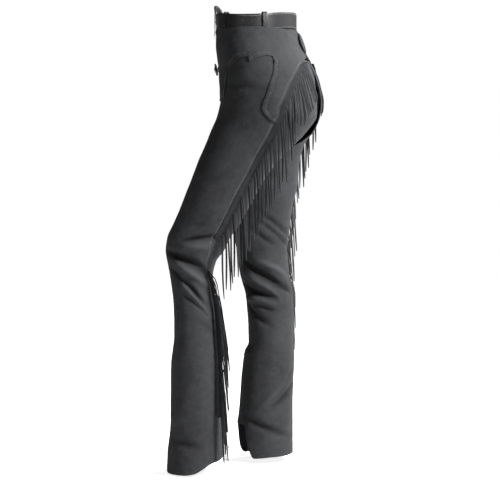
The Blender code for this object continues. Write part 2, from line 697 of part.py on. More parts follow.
def build_buckle(material, collection):
    """Oval plate, bent round the waist, with a raised rim."""
    shape = bmesh.new()
    previous = None
    for scale, rise in BUCKLE_RINGS:
        count = 1 if scale == 0 else BUCKLE_SEGMENTS
        ring = []
        for k in range(count):
            turn = 2 * math.pi * k / BUCKLE_SEGMENTS
            x = BUCKLE_WIDTH / 2 * scale * signed_power(math.cos(turn), BUCKLE_OVAL_POWER)
            z = BUCKLE_HEIGHT / 2 * scale * signed_power(math.sin(turn), BUCKLE_OVAL_POWER)
            depth = BUCKLE_RADIUS * (1 - math.cos(x / BUCKLE_RADIUS))
            ring.append(shape.verts.new((x, BUCKLE_FRONT + depth - rise, z)))
        if previous:
            for k in range(BUCKLE_SEGMENTS):
                n = (k + 1) % BUCKLE_SEGMENTS
                inner = [previous[k % len(previous)], previous[n % len(previous)]]
                corners = inner[:1] + [ring[k], ring[n]] + (inner[1:] if len(previous) > 1 else [])
                shape.faces.new(corners)
        previous = ring
    item = new_object("buckle", mesh_from("buckle", shape), material, collection)
    solidify(item, BUCKLE_THICKNESS, -1)
    return item


def build_concho(material, collection):
    """Domed round button, turned about its axis."""
    mesh = bpy.data.meshes.new("concho_front")
    points = [(radius, 0, height) for radius, height in CONCHO_PROFILE]
    mesh.from_pydata(points, [(k, k + 1) for k in range(len(points) - 1)], [])
    item = new_object("concho_front", mesh, material, collection)
    turn = item.modifiers.new("turned", "SCREW")
    turn.steps = CONCHO_SEGMENTS
    turn.render_steps = CONCHO_SEGMENTS
    turn.use_merge_vertices = True
    turn.merge_threshold = 0.0001
    item.rotation_euler = (math.pi / 2 + CONCHO_TILT, 0, 0)
    item.location = CONCHO_PLACE
    return item


def build_knot(material, collection):
    """Knotted lace that ties the two halves together at the front, behind the concho."""
    bpy.ops.mesh.primitive_cube_add(size=1)
    item = bpy.context.object
    item.name = "lace_knot"
    item.data.name = "lace_knot"
    item.data.transform(Matrix.Diagonal((*KNOT_SIZE, 1)))
    item.data.materials.append(material)
    for owner in item.users_collection:
        owner.objects.unlink(item)
    collection.objects.link(item)
    edges = item.modifiers.new("rounded", "BEVEL")
    edges.width = KNOT_EDGE_RADIUS
    edges.segments = 2
    item.location = (0, CONCHO_PLACE[1] + KNOT_SIZE[1] / 2 + KNOT_BEHIND_CONCHO, CONCHO_PLACE[2])
    item.rotation_euler = (CONCHO_TILT, 0, 0)
    return item


def build_rosette(material, collection):
    """Scalloped leather disc at the centre back, over the lacing of the two yokes."""
    shape = bmesh.new()
    rim = []
    count = ROSETTE_SCALLOPS * POINTS_PER_SCALLOP
    for k in range(count):
        turn = 2 * math.pi * k / count
        bulge = abs(math.cos(ROSETTE_SCALLOPS * turn / 2))
        radius = ROSETTE_RADIUS * (1 - ROSETTE_SCALLOP_DEPTH * (1 - bulge))
        rim.append(shape.verts.new((radius * math.cos(turn), radius * math.sin(turn), 0)))
    shape.faces.new(rim)
    item = new_object("rosette_back", mesh_from("rosette_back", shape), material, collection)
    solidify(item, ROSETTE_THICKNESS, 0)
    item.rotation_euler = (-math.pi / 2 + ROSETTE_TILT, 0, 0)
    item.location = ROSETTE_PLACE
    return item


def new_material(name, colour, roughness, metallic):
    material = bpy.data.materials.new(name)
    material.use_nodes = True
    surface = material.node_tree.nodes["Principled BSDF"]
    surface.inputs["Base Color"].default_value = colour
    surface.inputs["Roughness"].default_value = roughness
    surface.inputs["Metallic"].default_value = metallic
    return material


def main():
    for item in list(bpy.data.objects):
        bpy.data.objects.remove(item)
    collection = bpy.data.collections.new("leather chaps")
    cutters = bpy.data.collections.new("cutters")
    bpy.context.scene.collection.children.link(collection)
    bpy.context.scene.collection.children.link(cutters)
    leather = new_material("chap leather", LEATHER_COLOUR, 0.85, 0.0)
    strap = new_material("belt leather", BELT_COLOUR, 0.45, 0.0)
    silver = new_material("silver", SILVER_COLOUR, 0.25, 1.0)
    for leg in (LEFT, RIGHT):
        build_leg(leg, leather, collection)
        build_yoke(leg, leather, collection, cutters)
        for name, fringe in leg.fringes.items():
            build_fringe(leg, name, fringe, leather, collection)
    build_belt(strap, collection)
    for name, angle in KEEPERS.items():
        build_keeper(name, angle, strap, collection)
    build_buckle(silver, collection)
    build_concho(silver, collection)
    build_knot(leather, collection)
    build_rosette(leather, collection)


main()
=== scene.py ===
"""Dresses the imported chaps: grained leather, yokes, stitching, fringe, belt and hardware.

Metres, +Z up. The wearer's left is +X and their front is -Y. The origin is the centre of the
belt's ring, level with the belt's middle at the front.
"""
import json
import math
from collections import namedtuple

import bmesh
import bpy
import numpy as np
from mathutils import Matrix, Vector, noise

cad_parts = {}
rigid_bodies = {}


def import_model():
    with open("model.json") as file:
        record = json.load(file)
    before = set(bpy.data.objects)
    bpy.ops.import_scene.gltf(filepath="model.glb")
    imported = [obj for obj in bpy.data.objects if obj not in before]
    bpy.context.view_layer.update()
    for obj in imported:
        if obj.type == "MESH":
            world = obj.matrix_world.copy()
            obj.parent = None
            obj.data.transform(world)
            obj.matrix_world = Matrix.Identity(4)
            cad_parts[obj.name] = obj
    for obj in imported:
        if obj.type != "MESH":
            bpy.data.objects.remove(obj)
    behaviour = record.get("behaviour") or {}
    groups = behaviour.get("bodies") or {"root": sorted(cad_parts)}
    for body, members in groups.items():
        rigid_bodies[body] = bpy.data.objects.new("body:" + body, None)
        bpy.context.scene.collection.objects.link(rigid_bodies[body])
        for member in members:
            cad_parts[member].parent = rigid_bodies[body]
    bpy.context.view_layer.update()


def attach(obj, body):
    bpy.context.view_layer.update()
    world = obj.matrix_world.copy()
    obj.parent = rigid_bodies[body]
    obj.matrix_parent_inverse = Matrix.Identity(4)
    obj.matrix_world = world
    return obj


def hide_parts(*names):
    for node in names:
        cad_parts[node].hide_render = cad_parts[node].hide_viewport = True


bl_info = {
    "name": "Fringed Leather Chaps",
    "version": (1, 0, 0),
    "blender": (4, 5, 0),
    "location": "View3D > Sidebar > Chaps",
    "description": "Models the leather, stitching, fringe, belt and hardware of a pair of show chaps",
    "category": "Add Mesh",
}

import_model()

Section = namedtuple("Section", "z front back middle inner outer")
Seam = namedtuple("Seam", "z angle")
Edge = namedtuple("Edge", "angle z")
YokeEdge = namedtuple("YokeEdge", "share z")
Length = namedtuple("Length", "z metres")
Crease = namedtuple("Crease", "angle_1 z_1 angle_2 z_2 width rise")
Hang = namedtuple("Hang", "stand lean hop")
Fringe = namedtuple(
    "Fringe", "top bottom strands turn_from turn_to hang lane_step lanes inner_lanes follows_seam")
Swell = namedtuple("Swell", "rise size seed")
Lamp = namedtuple("Lamp", "name place aim size watts")

# Horizontal cuts of one leg's leather: x is counted from the middle plane towards that leg
HIP = (
    Section(-0.020, -0.090, 0.090, 0.004, -0.130, 0.140),
    Section(-0.054, -0.090, 0.099, 0.004, -0.120, 0.150),
    Section(-0.085, -0.086, 0.114, 0.005, -0.100, 0.160),
    Section(-0.112, -0.082, 0.129, 0.010, -0.080, 0.166),
    Section(-0.135, -0.080, 0.137, 0.020, -0.050, 0.171),
)
LEFT_SECTIONS = HIP + (
    Section(-0.158, -0.076, 0.142, 0.036, -0.030, 0.175),
    Section(-0.181, -0.074, 0.147, 0.051, -0.010, 0.177),
    Section(-0.220, -0.079, 0.149, 0.073, 0.004, 0.177),
    Section(-0.251, -0.090, 0.131, 0.086, 0.006, 0.177),
    Section(-0.286, -0.104, 0.098, 0.091, 0.007, 0.178),
    Section(-0.331, -0.123, 0.055, 0.094, 0.010, 0.178),
    Section(-0.377, -0.141, 0.023, 0.095, 0.016, 0.174),
    Section(-0.423, -0.159, -0.002, 0.096, 0.023, 0.169),
    Section(-0.469, -0.179, -0.027, 0.097, 0.030, 0.164),
    Section(-0.498, -0.192, -0.047, 0.098, 0.035, 0.161),
    Section(-0.528, -0.196, -0.062, 0.098, 0.037, 0.159),
    Section(-0.554, -0.191, -0.081, 0.098, 0.038, 0.158),
    Section(-0.584, -0.185, -0.088, 0.099, 0.039, 0.159),
    Section(-0.664, -0.176, -0.078, 0.101, 0.039, 0.163),
    Section(-0.721, -0.175, -0.072, 0.103, 0.040, 0.166),
    Section(-0.788, -0.182, -0.065, 0.105, 0.039, 0.171),
    Section(-0.917, -0.183, -0.060, 0.107, 0.037, 0.177),
    Section(-0.998, -0.190, -0.061, 0.109, 0.035, 0.183),
    Section(-1.040, -0.191, -0.064, 0.110, 0.034, 0.186),
)
RIGHT_SECTIONS = HIP + (
    Section(-0.158, -0.078, 0.141, 0.036, -0.030, 0.174),
    Section(-0.181, -0.084, 0.143, 0.050, -0.010, 0.177),
    Section(-0.214, -0.095, 0.137, 0.072, 0.004, 0.177),
    Section(-0.250, -0.101, 0.121, 0.086, 0.006, 0.178),
    Section(-0.285, -0.101, 0.096, 0.090, 0.007, 0.177),
    Section(-0.333, -0.096, 0.083, 0.092, 0.010, 0.175),
    Section(-0.380, -0.091, 0.079, 0.093, 0.015, 0.172),
    Section(-0.428, -0.085, 0.068, 0.094, 0.022, 0.168),
    Section(-0.475, -0.077, 0.061, 0.095, 0.028, 0.163),
    Section(-0.540, -0.065, 0.055, 0.096, 0.035, 0.158),
    Section(-0.595, -0.057, 0.060, 0.096, 0.036, 0.157),
    Section(-0.650, -0.043, 0.069, 0.097, 0.037, 0.158),
    Section(-0.755, -0.037, 0.070, 0.099, 0.037, 0.162),
    Section(-0.778, -0.048, 0.071, 0.100, 0.037, 0.163),
    Section(-0.835, -0.055, 0.069, 0.101, 0.035, 0.168),
    Section(-0.919, -0.061, 0.067, 0.102, 0.033, 0.172),
    Section(-0.953, -0.066, 0.067, 0.103, 0.032, 0.174),
    Section(-1.040, -0.062, 0.068, 0.104, 0.031, 0.178),
)

# The outseam's way round the leg: it leaves the centre back under the belt
SEAM_START = -0.084
WING_TOP = -0.0905
LEFT_SEAM = (
    Seam(-0.020, 90), Seam(SEAM_START, 90), Seam(-0.092, 76), Seam(-0.110, 57), Seam(-0.136, 43),
    Seam(-0.161, 34), Seam(-0.204, 22), Seam(-0.235, 20), Seam(-0.290, 26), Seam(-0.360, 36),
    Seam(-0.440, 35), Seam(-0.505, 37), Seam(-0.532, 44), Seam(-0.565, 58), Seam(-0.610, 70),
    Seam(-0.680, 73), Seam(-0.800, 67), Seam(-0.910, 64), Seam(-1.040, 67),
)
RIGHT_SEAM = (
    Seam(-0.020, 90), Seam(SEAM_START, 90), Seam(-0.092, 76), Seam(-0.110, 57), Seam(-0.136, 43),
    Seam(-0.161, 34), Seam(-0.204, 24), Seam(-0.250, 24), Seam(-0.300, 30), Seam(-0.360, 37),
    Seam(-0.420, 42), Seam(-0.540, 46), Seam(-0.640, 42), Seam(-0.800, 38), Seam(-1.040, 38),
)

# Top edge of the leather between the legs: the groin, the inner thigh and below the seat
CROTCH_EDGE = (
    Edge(-90, -0.184), Edge(-100, -0.200), Edge(-114, -0.215), Edge(-130, -0.235),
    Edge(-148, -0.255), Edge(-166, -0.268), Edge(-186, -0.280), Edge(-208, -0.288),
    Edge(-230, -0.288), Edge(-252, -0.278), Edge(-270, -0.262),
)

# Hems: raised at the front, where the foot comes out
LEFT_HEM = (
    Edge(-294, -1.005), Edge(-270, -1.000), Edge(-230, -1.006), Edge(-180, -1.024),
    Edge(-120, -1.033), Edge(-106, -1.022), Edge(-94, -0.957), Edge(-88, -0.957),
    Edge(-76, -1.030), Edge(-50, -1.034), Edge(-10, -1.034), Edge(10, -1.030),
    Edge(26, -1.020), Edge(48, -1.008), Edge(70, -1.005),
)
RIGHT_HEM = (
    Edge(-294, -1.022), Edge(-270, -1.021), Edge(-201, -1.023), Edge(-166, -1.027),
    Edge(-154, -1.005), Edge(-144, -0.948), Edge(-96, -0.949), Edge(-80, -1.010),
    Edge(-60, -1.028), Edge(0, -1.029), Edge(66, -1.022),
)

# Creases of the leather, large ones first: a negative rise is a trough
LEFT_CREASES = (
    Crease(-14, -0.500, 32, -0.492, 0.008, -0.0045),
    Crease(-12, -0.517, 30, -0.516, 0.015, 0.0050),
    Crease(-46, -0.528, 44, -0.566, 0.012, -0.0080),
    Crease(-29, -0.552, 50, -0.602, 0.012, 0.0045),
    Crease(-22, -0.580, 40, -0.641, 0.010, -0.0055),
    Crease(-10, -0.602, 36, -0.656, 0.011, 0.0035),
    Crease(-6, -0.627, 38, -0.664, 0.008, -0.0022),
    Crease(-150, -0.520, -215, -0.552, 0.014, -0.0060),
    Crease(-140, -0.560, -210, -0.600, 0.013, 0.0040),
    Crease(-138, -0.590, -196, -0.632, 0.010, -0.0035),
    Crease(-160, -0.488, -205, -0.498, 0.009, -0.0030),
    Crease(-35, -0.957, 17, -0.970, 0.012, -0.0030),
    Crease(-42, -0.148, 3, -0.159, 0.016, -0.0020),
    Crease(-24, -0.470, 14, -0.466, 0.012, -0.0014),
    Crease(-58, -0.560, -30, -0.578, 0.009, -0.0020),
    Crease(20, -0.690, 52, -0.704, 0.012, -0.0016),
    Crease(-60, -0.905, -20, -0.915, 0.016, 0.0016),
    Crease(-150, -0.930, -205, -0.955, 0.013, -0.0030),
    Crease(-140, -0.330, -200, -0.372, 0.015, -0.0026),
    Crease(-160, -0.395, -215, -0.430, 0.014, -0.0020),
)
RIGHT_CREASES = (
    Crease(-184, -0.446, -262, -0.502, 0.009, -0.0034),
    Crease(-184, -0.468, -268, -0.530, 0.008, -0.0030),
    Crease(-174, -0.490, -210, -0.518, 0.008, -0.0026),
    Crease(-184, -0.560, -242, -0.592, 0.012, 0.0045),
    Crease(-147, -0.566, -240, -0.628, 0.012, -0.0085),
    Crease(-146, -0.590, -205, -0.634, 0.010, 0.0040),
    Crease(-125, -0.618, -190, -0.643, 0.010, -0.0055),
    Crease(-125, -0.645, -190, -0.655, 0.010, 0.0040),
    Crease(-162, -0.662, -192, -0.676, 0.007, -0.0030),
    Crease(-126, -0.664, -180, -0.709, 0.011, -0.0035),
    Crease(20, -0.560, -50, -0.600, 0.013, -0.0060),
    Crease(30, -0.585, -30, -0.622, 0.010, 0.0035),
    Crease(30, -0.610, -40, -0.650, 0.012, -0.0045),
    Crease(10, -0.470, -46, -0.488, 0.010, -0.0030),
    Crease(-222, -0.852, -257, -0.820, 0.009, -0.0022),
    Crease(-178, -0.898, -232, -0.841, 0.010, 0.0026),
    Crease(-206, -0.903, -256, -0.862, 0.010, -0.0055),
    Crease(-156, -0.938, -234, -0.974, 0.011, -0.0045),
    Crease(-20, -0.890, -70, -0.915, 0.013, -0.0035),
    Crease(10, -0.940, -50, -0.965, 0.013, -0.0030),
    Crease(-150, -0.330, -205, -0.360, 0.015, -0.0024),
)
CREASE_ARC_RADIUS = 0.070
CREASE_DEPTH = 1.6
CREASE_SHARPNESS = 0.7
CREASE_BOW = 0.10
CREASE_TAPER = 1.6
# Unevenness of the hide: how far it rises, how long its lumps are, and the seed of their noise
SWELLS = (Swell(0.0009, 0.060, 1), Swell(0.0004, 0.022, 2))

# Lower edge of the yoke, by the share of the way from the outseam to the front
YOKE_EDGE = (
    YokeEdge(0.000, -0.236), YokeEdge(0.055, -0.231), YokeEdge(0.110, -0.223),
    YokeEdge(0.150, -0.214), YokeEdge(0.178, -0.203), YokeEdge(0.188, -0.190),
    YokeEdge(0.194, -0.165), YokeEdge(0.202, -0.140), YokeEdge(0.220, -0.121),
    YokeEdge(0.257, -0.105), YokeEdge(0.300, -0.094), YokeEdge(0.345, -0.088),
    YokeEdge(0.395, -0.086), YokeEdge(0.430, -0.090), YokeEdge(0.452, -0.099),
    YokeEdge(0.480, -0.091), YokeEdge(0.525, -0.088), YokeEdge(0.565, -0.091),
    YokeEdge(0.592, -0.100), YokeEdge(0.612, -0.117), YokeEdge(0.640, -0.136),
    YokeEdge(0.660, -0.150), YokeEdge(0.676, -0.168), YokeEdge(0.695, -0.182),
    YokeEdge(0.750, -0.187), YokeEdge(1.000, -0.180),
)
FRINGE_LENGTHS = (
    Length(-0.095, 0.078), Length(-0.160, 0.100), Length(-0.230, 0.130), Length(-0.420, 0.138),
    Length(-0.560, 0.130), Length(-1.000, 0.126),
)
# Fringe in each outseam. Its strip stands up from the leather by an angle, in degrees, and its strands
# lean out as they fall, after a short hop away from the strip. It lies flat on the hip, and turns to its
# own hang between two heights. The strands keep apart by the lanes that they hang in, of which some
# may lie inward of the strip
HIP_HANG = Hang(22, 0.03, 0.0005)
LEFT_FRINGES = {
    "fringe_thigh": Fringe(-0.096, -0.496, 38, -0.60, -0.70, HIP_HANG, 0.0024, 3, 0, False),
    "fringe_calf": Fringe(-0.572, -0.905, 31, -0.20, -0.30, Hang(120, 0.11, 0.002), 0.0038, 4, 2, True),
}
RIGHT_FRINGES = {
    "fringe_thigh": Fringe(-0.096, -0.520, 34, -0.24, -0.34, Hang(105, 0.11, 0.002), 0.0042, 5, 1, False),
    "fringe_calf": Fringe(-0.536, -0.905, 33, -0.20, -0.30, Hang(120, 0.08, 0.004), 0.0032, 5, 1, True),
}
FRINGE_GAP = 0.0012
STRIP_REACH = 0.0130
STRAND_STEP_OUT = 0.0020
STRAND_FIRST_DROP = 0.005
STRAND_HOP_DROP = 0.010
LEG_CLEARANCE = 0.006
SNUG_CLEARANCE = 0.0016
SNUG_LEVELS = (-0.240, -0.110)
FLOOR_CLEAR_HEIGHT = -1.031
FLOOR_HEIGHT = -1.039

ROUNDNESS = 2.15
NORMAL_STEP = 0.004
CENTRE_FRONT = -90
CENTRE_BACK = -270
SEAM_HALF_GAP_DEGREES = 0.3
BELT_HALF_WIDTH = 0.1384
BELT_HALF_DEPTH = 0.0884
BELT_HALF_HEIGHT = 0.019
BELT_SIDE_DIP = 0.010
PANEL_TOP_BELOW_BELT = 0.0015
YOKE_TOP_FRONT = -0.026
YOKE_TOP_SIDE_RISE = 0.007

KEEPERS = {"keeper_front": -36, "keeper_side": 24}
BUCKLE_RADIUS = 0.125
BUCKLE_FRONT = -0.0985
CONCHO_PLACE = Vector((0.0, -0.0965, -0.110))
CONCHO_TILT = math.radians(10)
ROSETTE_PLACE = Vector((0.0, 0.1050, -0.051))
ROSETTE_TILT = math.radians(19)


def length_setting(title, description, metres):
    return bpy.props.FloatProperty(
        name=title, description=description, default=metres, unit="LENGTH", precision=4)


def colour_setting(title, description, colour):
    return bpy.props.FloatVectorProperty(
        name=title, description=description, default=colour, subtype="COLOR", min=0, max=1)


class ChapsLeather(bpy.types.PropertyGroup):
    """Sizes and colours of the leather."""

    panel: length_setting("Panel Thickness", "Thickness of the leg panels' leather", 0.0018)
    yoke: length_setting("Yoke Thickness", "Thickness of the hip yokes' leather", 0.0018)
    colour: colour_setting("Leather Colour", "Colour of the nappy leather", (0.0165, 0.0169, 0.0181))
    thread: colour_setting("Thread Colour", "Colour of the waxed thread", (0.050, 0.051, 0.054))
    stitch: length_setting("Stitch Length", "Length of one stitch with the gap after it", 0.0034)


class ChapsFringe(bpy.types.PropertyGroup):
    """Sizes and colour of the fringe."""

    width: length_setting("Strand Width", "Width of one fringe strand", 0.0042)
    thickness: length_setting("Strand Thickness", "Thickness of the fringe leather", 0.0013)
    colour: colour_setting("Fringe Colour", "Colour of the fringe leather", (0.0135, 0.0139, 0.0150))


class ChapsBelt(bpy.types.PropertyGroup):
    """Sizes and colours of the belt and its loops."""

    height: length_setting("Belt Height", "Height of the belt strap", 0.038)
    thickness: length_setting("Belt Thickness", "Thickness of the belt strap", 0.0035)
    loop: length_setting("Loop Width", "Width of each loop round the belt", 0.011)
    colour: colour_setting("Belt Colour", "Colour of the smooth belt leather", (0.0075, 0.0075, 0.0080))
    thread: colour_setting("Belt Thread Colour", "Colour of the belt's thread", (0.140, 0.141, 0.145))


class ChapsSilver(bpy.types.PropertyGroup):
    """Sizes and colour of the buckle and the concho."""

    buckle_width: length_setting("Buckle Width", "Width of the trophy plate", 0.095)
    buckle_height: length_setting("Buckle Height", "Height of the trophy plate", 0.076)
    colour: colour_setting("Silver Colour", "Colour of the polished silver", (0.80, 0.80, 0.79))


SETTINGS = {
    "chaps_leather": ChapsLeather,
    "chaps_fringe": ChapsFringe,
    "chaps_belt": ChapsBelt,
    "chaps_silver": ChapsSilver,
}


# Form of the legs

def smooth_values(points, xs):
    """Heights at xs of a smooth curve through (x, y) pairs that never overshoots them."""
    pairs = sorted(points)
    known = np.array([pair[0] for pair in pairs], float)
    heights = np.array([pair[1] for pair in pairs], float)
    steps = np.diff(heights) / np.diff(known)
    slopes = np.empty(len(known))
    slopes[0] = steps[0]
    slopes[-1] = steps[-1]
    product = steps[:-1] * steps[1:]
    total = steps[:-1] + steps[1:]
    slopes[1:-1] = np.where(product > 0, 2 * product / np.where(total == 0, 1, total), 0)
    xs = np.clip(xs, known[0], known[-1])
    k = np.clip(np.searchsorted(known, xs, side="right") - 1, 0, len(known) - 2)
    span = known[k + 1] - known[k]
    t = (xs - known[k]) / span
    rise = heights[k + 1] - heights[k]
    start = slopes[k] * span
    end = slopes[k + 1] * span
    return heights[k] + t * start + t * t * (3 * rise - 2 * start - end) + t ** 3 * (start + end - 2 * rise)


def signed_power(value, power):
    return np.sign(value) * np.abs(value) ** power


def unit(vectors):
    return vectors / np.maximum(np.linalg.norm(vectors, axis=-1, keepdims=True), 1e-12)


def unevenness(points):
    """How far the uneven hide rises or sinks at each point."""
    total = np.zeros(len(points))
    for swell in SWELLS:
        shift = Vector((7.3, 3.1, 5.7)) * swell.seed
        lumps = [noise.noise(Vector(point) / swell.size + shift) for point in points.tolist()]
        total += swell.rise * np.array(lumps)
    return total


def way_lengths(points):
    """Length of a way from its start to each of its points."""
    return np.concatenate([[0], np.cumsum(np.linalg.norm(np.diff(points, axis=0), axis=1))])


def along_way(marks, lengths, values):
    """Points or normals at the marks along a way whose lengths are known."""
    return np.stack([np.interp(marks, lengths, values[:, k]) for k in range(3)], -1)


class LegForm:
    """Form of one leg's leather, from its tables."""

    def __init__(self, name, side, sections, seam, hem, creases, fringes):
        self.name = name
        self.side = side
        self.sections = sections
        self.seam_points = seam
        self.hem_points = hem
        self.creases = creases
        self.fringes = fringes

    def cut(self, z):
        heights = [section.z for section in self.sections]
        columns = list(zip(*self.sections))[1:]
        return [smooth_values(zip(heights, column), z) for column in columns]

    def seam(self, z):
        return smooth_values(self.seam_points, z)

    def hem(self, angle):
        return smooth_values(self.hem_points, angle)

    def ring(self, angle, z):
        """Points of the smooth form: a rounded ring whose four quarters differ."""
        front, back, middle, inner, outer = self.cut(z)
        cosine = np.cos(np.radians(angle))
        sine = np.sin(np.radians(angle))
        reach = np.where(cosine > 0, outer - middle, middle - inner)
        x = middle + reach * signed_power(cosine, 2 / ROUNDNESS)
        y = (back + front) / 2 + (back - front) / 2 * signed_power(sine, 2 / ROUNDNESS)
        return np.stack([self.side * x, y, z + 0 * x], -1)

    def outward(self, angle, z):
        """Unit normals of the smooth form."""
        around = self.ring(angle + 1, z) - self.ring(angle - 1, z)
        upward = self.ring(angle, z + NORMAL_STEP) - self.ring(angle, z - NORMAL_STEP)
        return unit(np.cross(around, upward) * self.side)

    def rise(self, angle, z):
        """How far the creases push the leather out."""
        total = 0.0 * (angle + z)
        for crease in self.creases:
            along_x = math.radians(crease.angle_2 - crease.angle_1) * CREASE_ARC_RADIUS
            along_z = crease.z_2 - crease.z_1
            turned = (angle - crease.angle_1 + 180) % 360 - 180
            away_x = np.radians(turned) * CREASE_ARC_RADIUS
            away_z = z - crease.z_1
            length = math.hypot(along_x, along_z)
            share = (away_x * along_x + away_z * along_z) / length ** 2
            across = (away_z * along_x - away_x * along_z) / length
            bow = CREASE_BOW * length * (share - 0.5) ** 2 * (1 if crease.rise < 0 else -1)
            across = np.abs(across + bow) / (crease.width * CREASE_SHARPNESS)
            taper = np.cos(np.pi * np.clip((share - 0.5) / CREASE_TAPER, -0.5, 0.5))
            total += CREASE_DEPTH * crease.rise * taper * np.exp(-across * across)
        return total

    def leather(self, angle, z):
        """Outer surface of the leather, creases included."""
        angle, z = np.broadcast_arrays(np.asarray(angle, float), np.asarray(z, float))
        rise = self.rise(angle, z)
        return self.ring(angle, z) + self.outward(angle, z) * rise[..., None]

    def front_angle(self, share, z):
        """Angle at a share of the way from the outseam forward to the centre front."""
        start = self.seam(z) - SEAM_HALF_GAP_DEGREES
        return start + (CENTRE_FRONT - start) * share

    def back_angle(self, share, z):
        """Angle at a share of the way from the centre back to the outseam."""
        end = self.seam(z) + SEAM_HALF_GAP_DEGREES - 360
        return CENTRE_BACK + (end - CENTRE_BACK) * share

    def outside(self, point, clearance):
        """A point moved level with the floor until it is clear of the form."""
        front, back, middle, inner, outer = (float(v) for v in self.cut(np.array(point[2])))
        x = self.side * point[0] - middle
        y = point[1] - (back + front) / 2
        reach = outer - middle if x > 0 else middle - inner
        half = (back - front) / 2
        size = (abs(x / reach) ** ROUNDNESS + abs(y / half) ** ROUNDNESS) ** (1 / ROUNDNESS)
        scale = max(1.0, (1 + clearance / half) / size)
        return np.array([self.side * (middle + x * scale), (back + front) / 2 + y * scale, point[2]])


LEFT = LegForm("left", 1, LEFT_SECTIONS, LEFT_SEAM, LEFT_HEM, LEFT_CREASES, LEFT_FRINGES)
RIGHT = LegForm("right", -1, RIGHT_SECTIONS, RIGHT_SEAM, RIGHT_HEM, RIGHT_CREASES, RIGHT_FRINGES)
LEGS = (LEFT, RIGHT)


def belt_middle(angle):
    return -BELT_SIDE_DIP * np.cos(np.radians(angle)) ** 2


def belt_point(angle, level, outward=0.0):
    """Points of the belt's outer face, or of a ring that lies outside it."""
    x = (BELT_HALF_WIDTH + outward) * signed_power(np.cos(np.radians(angle)), 2 / ROUNDNESS)
    y = (BELT_HALF_DEPTH + outward) * signed_power(np.sin(np.radians(angle)), 2 / ROUNDNESS)
    return np.stack([x, y, belt_middle(angle) + level], -1)


# Modelling helpers

def deselect_all():
    for item in bpy.context.view_layer.objects:
        item.select_set(False)


def make_active(item):
    deselect_all()
    item.select_set(True)
    bpy.context.view_layer.objects.active = item


def corner_points(item):
    points = np.empty(len(item.data.vertices) * 3)
    item.data.vertices.foreach_get("co", points)
    return points.reshape(-1, 3)


def move_corners(item, points):
    item.data.vertices.foreach_set("co", np.asarray(points, float).ravel())
    item.data.update()


def rename(item, name):
    item.name = name
    item.data.name = name


def add_grid(name, across, down):
    """Flat grid, with the numbers of the column and of the row that each corner is in."""
    deselect_all()
    bpy.ops.mesh.primitive_grid_add(x_subdivisions=across, y_subdivisions=down, size=2)
    item = bpy.context.object
    rename(item, name)
    points = corner_points(item)
    column = np.rint((points[:, 0] + 1) / 2 * across).astype(int)
    row = np.rint((1 - points[:, 1]) / 2 * down).astype(int)
    return item, column, row


def edit_all(item, operator, **settings):
    """Run an edit-mode operator on all of a piece."""
    make_active(item)
    bpy.ops.object.mode_set(mode="EDIT")
    bpy.ops.mesh.select_all(action="SELECT")
    operator(**settings)
    bpy.ops.object.mode_set(mode="OBJECT")


def flip(item):
    edit_all(item, bpy.ops.mesh.flip_normals)


def weld(item):
    edit_all(item, bpy.ops.mesh.remove_doubles, threshold=0.00002)


def join(items, name):
    make_active(items[0])
    for item in items[1:]:
        item.select_set(True)
    bpy.ops.object.join()
    joined = bpy.context.object
    rename(joined, name)
    return joined


def apply_modifier(item, kind, **settings):
    make_active(item)
    modifier = item.modifiers.new(kind.lower(), kind)
    for setting, value in settings.items():
        setattr(modifier, setting, value)
    bpy.ops.object.modifier_apply(modifier=modifier.name)


def thicken(item, thickness, offset=-1, even=True):
    apply_modifier(item, "SOLIDIFY", thickness=thickness, offset=offset, use_even_offset=even)


def round_edges(item, width):
    apply_modifier(item, "BEVEL", width=width, segments=2, limit_method="ANGLE",
                   angle_limit=math.radians(50))


def put_at(item, place, tilt):
    """Tilt a piece about X, move it to its place, and put both into its mesh."""
    item.location = place
    item.rotation_euler = (tilt, 0, 0)
    make_active(item)
    bpy.ops.object.transform_apply(location=True, rotation=True, scale=True)


def smooth(item, degrees):
    make_active(item)
    bpy.ops.object.shade_smooth_by_angle(angle=math.radians(degrees))


def store(item, name, values):
    """Keep one number for each corner of a piece, for its material to read."""
    layer = item.data.attributes.new(name, "FLOAT", "POINT")
    layer.data.foreach_set("value", np.asarray(values, np.float32).ravel())


def put_on(item, node, material):
    """The piece rides on the frame, stands for its CAD node and takes its material."""
    item.data.materials.clear()
    item.data.materials.append(material)
    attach(item, "root")
    if node:
        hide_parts(node)
    return item


def new_piece(name, points, faces):
    mesh = bpy.data.meshes.new(name)
    mesh.from_pydata(np.asarray(points).tolist(), [], faces)
    item = bpy.data.objects.new(name, mesh)
    bpy.context.scene.collection.objects.link(item)
    return item


def copies(name, prototype, places):
    """One piece made of a prototype's copies, each at a 4 x 4 place."""
    points = corner_points(prototype)
    faces = [tuple(face.vertices) for face in prototype.data.polygons]
    spread = np.hstack([points, np.ones((len(points), 1))])
    all_points = np.concatenate([(spread @ np.array(place).T)[:, :3] for place in places])
    all_faces = []
    for k in range(len(places)):
        all_faces += [tuple(corner + k * len(points) for corner in face) for face in faces]
    item = new_piece(name, all_points, all_faces)
    bpy.data.objects.remove(prototype)
    smooth(item, 60)
    return item


def place_of(point, along, out):
    """4 x 4 place at a point: X runs along, and Z points out."""
    along = Vector(along).normalized()
    out = (Vector(out) - along * along.dot(Vector(out))).normalized()
    side = out.cross(along)
    turned = Matrix((along, side, out)).transposed().to_4x4()
    return Matrix.Translation(Vector(point)) @ turned


# Materials

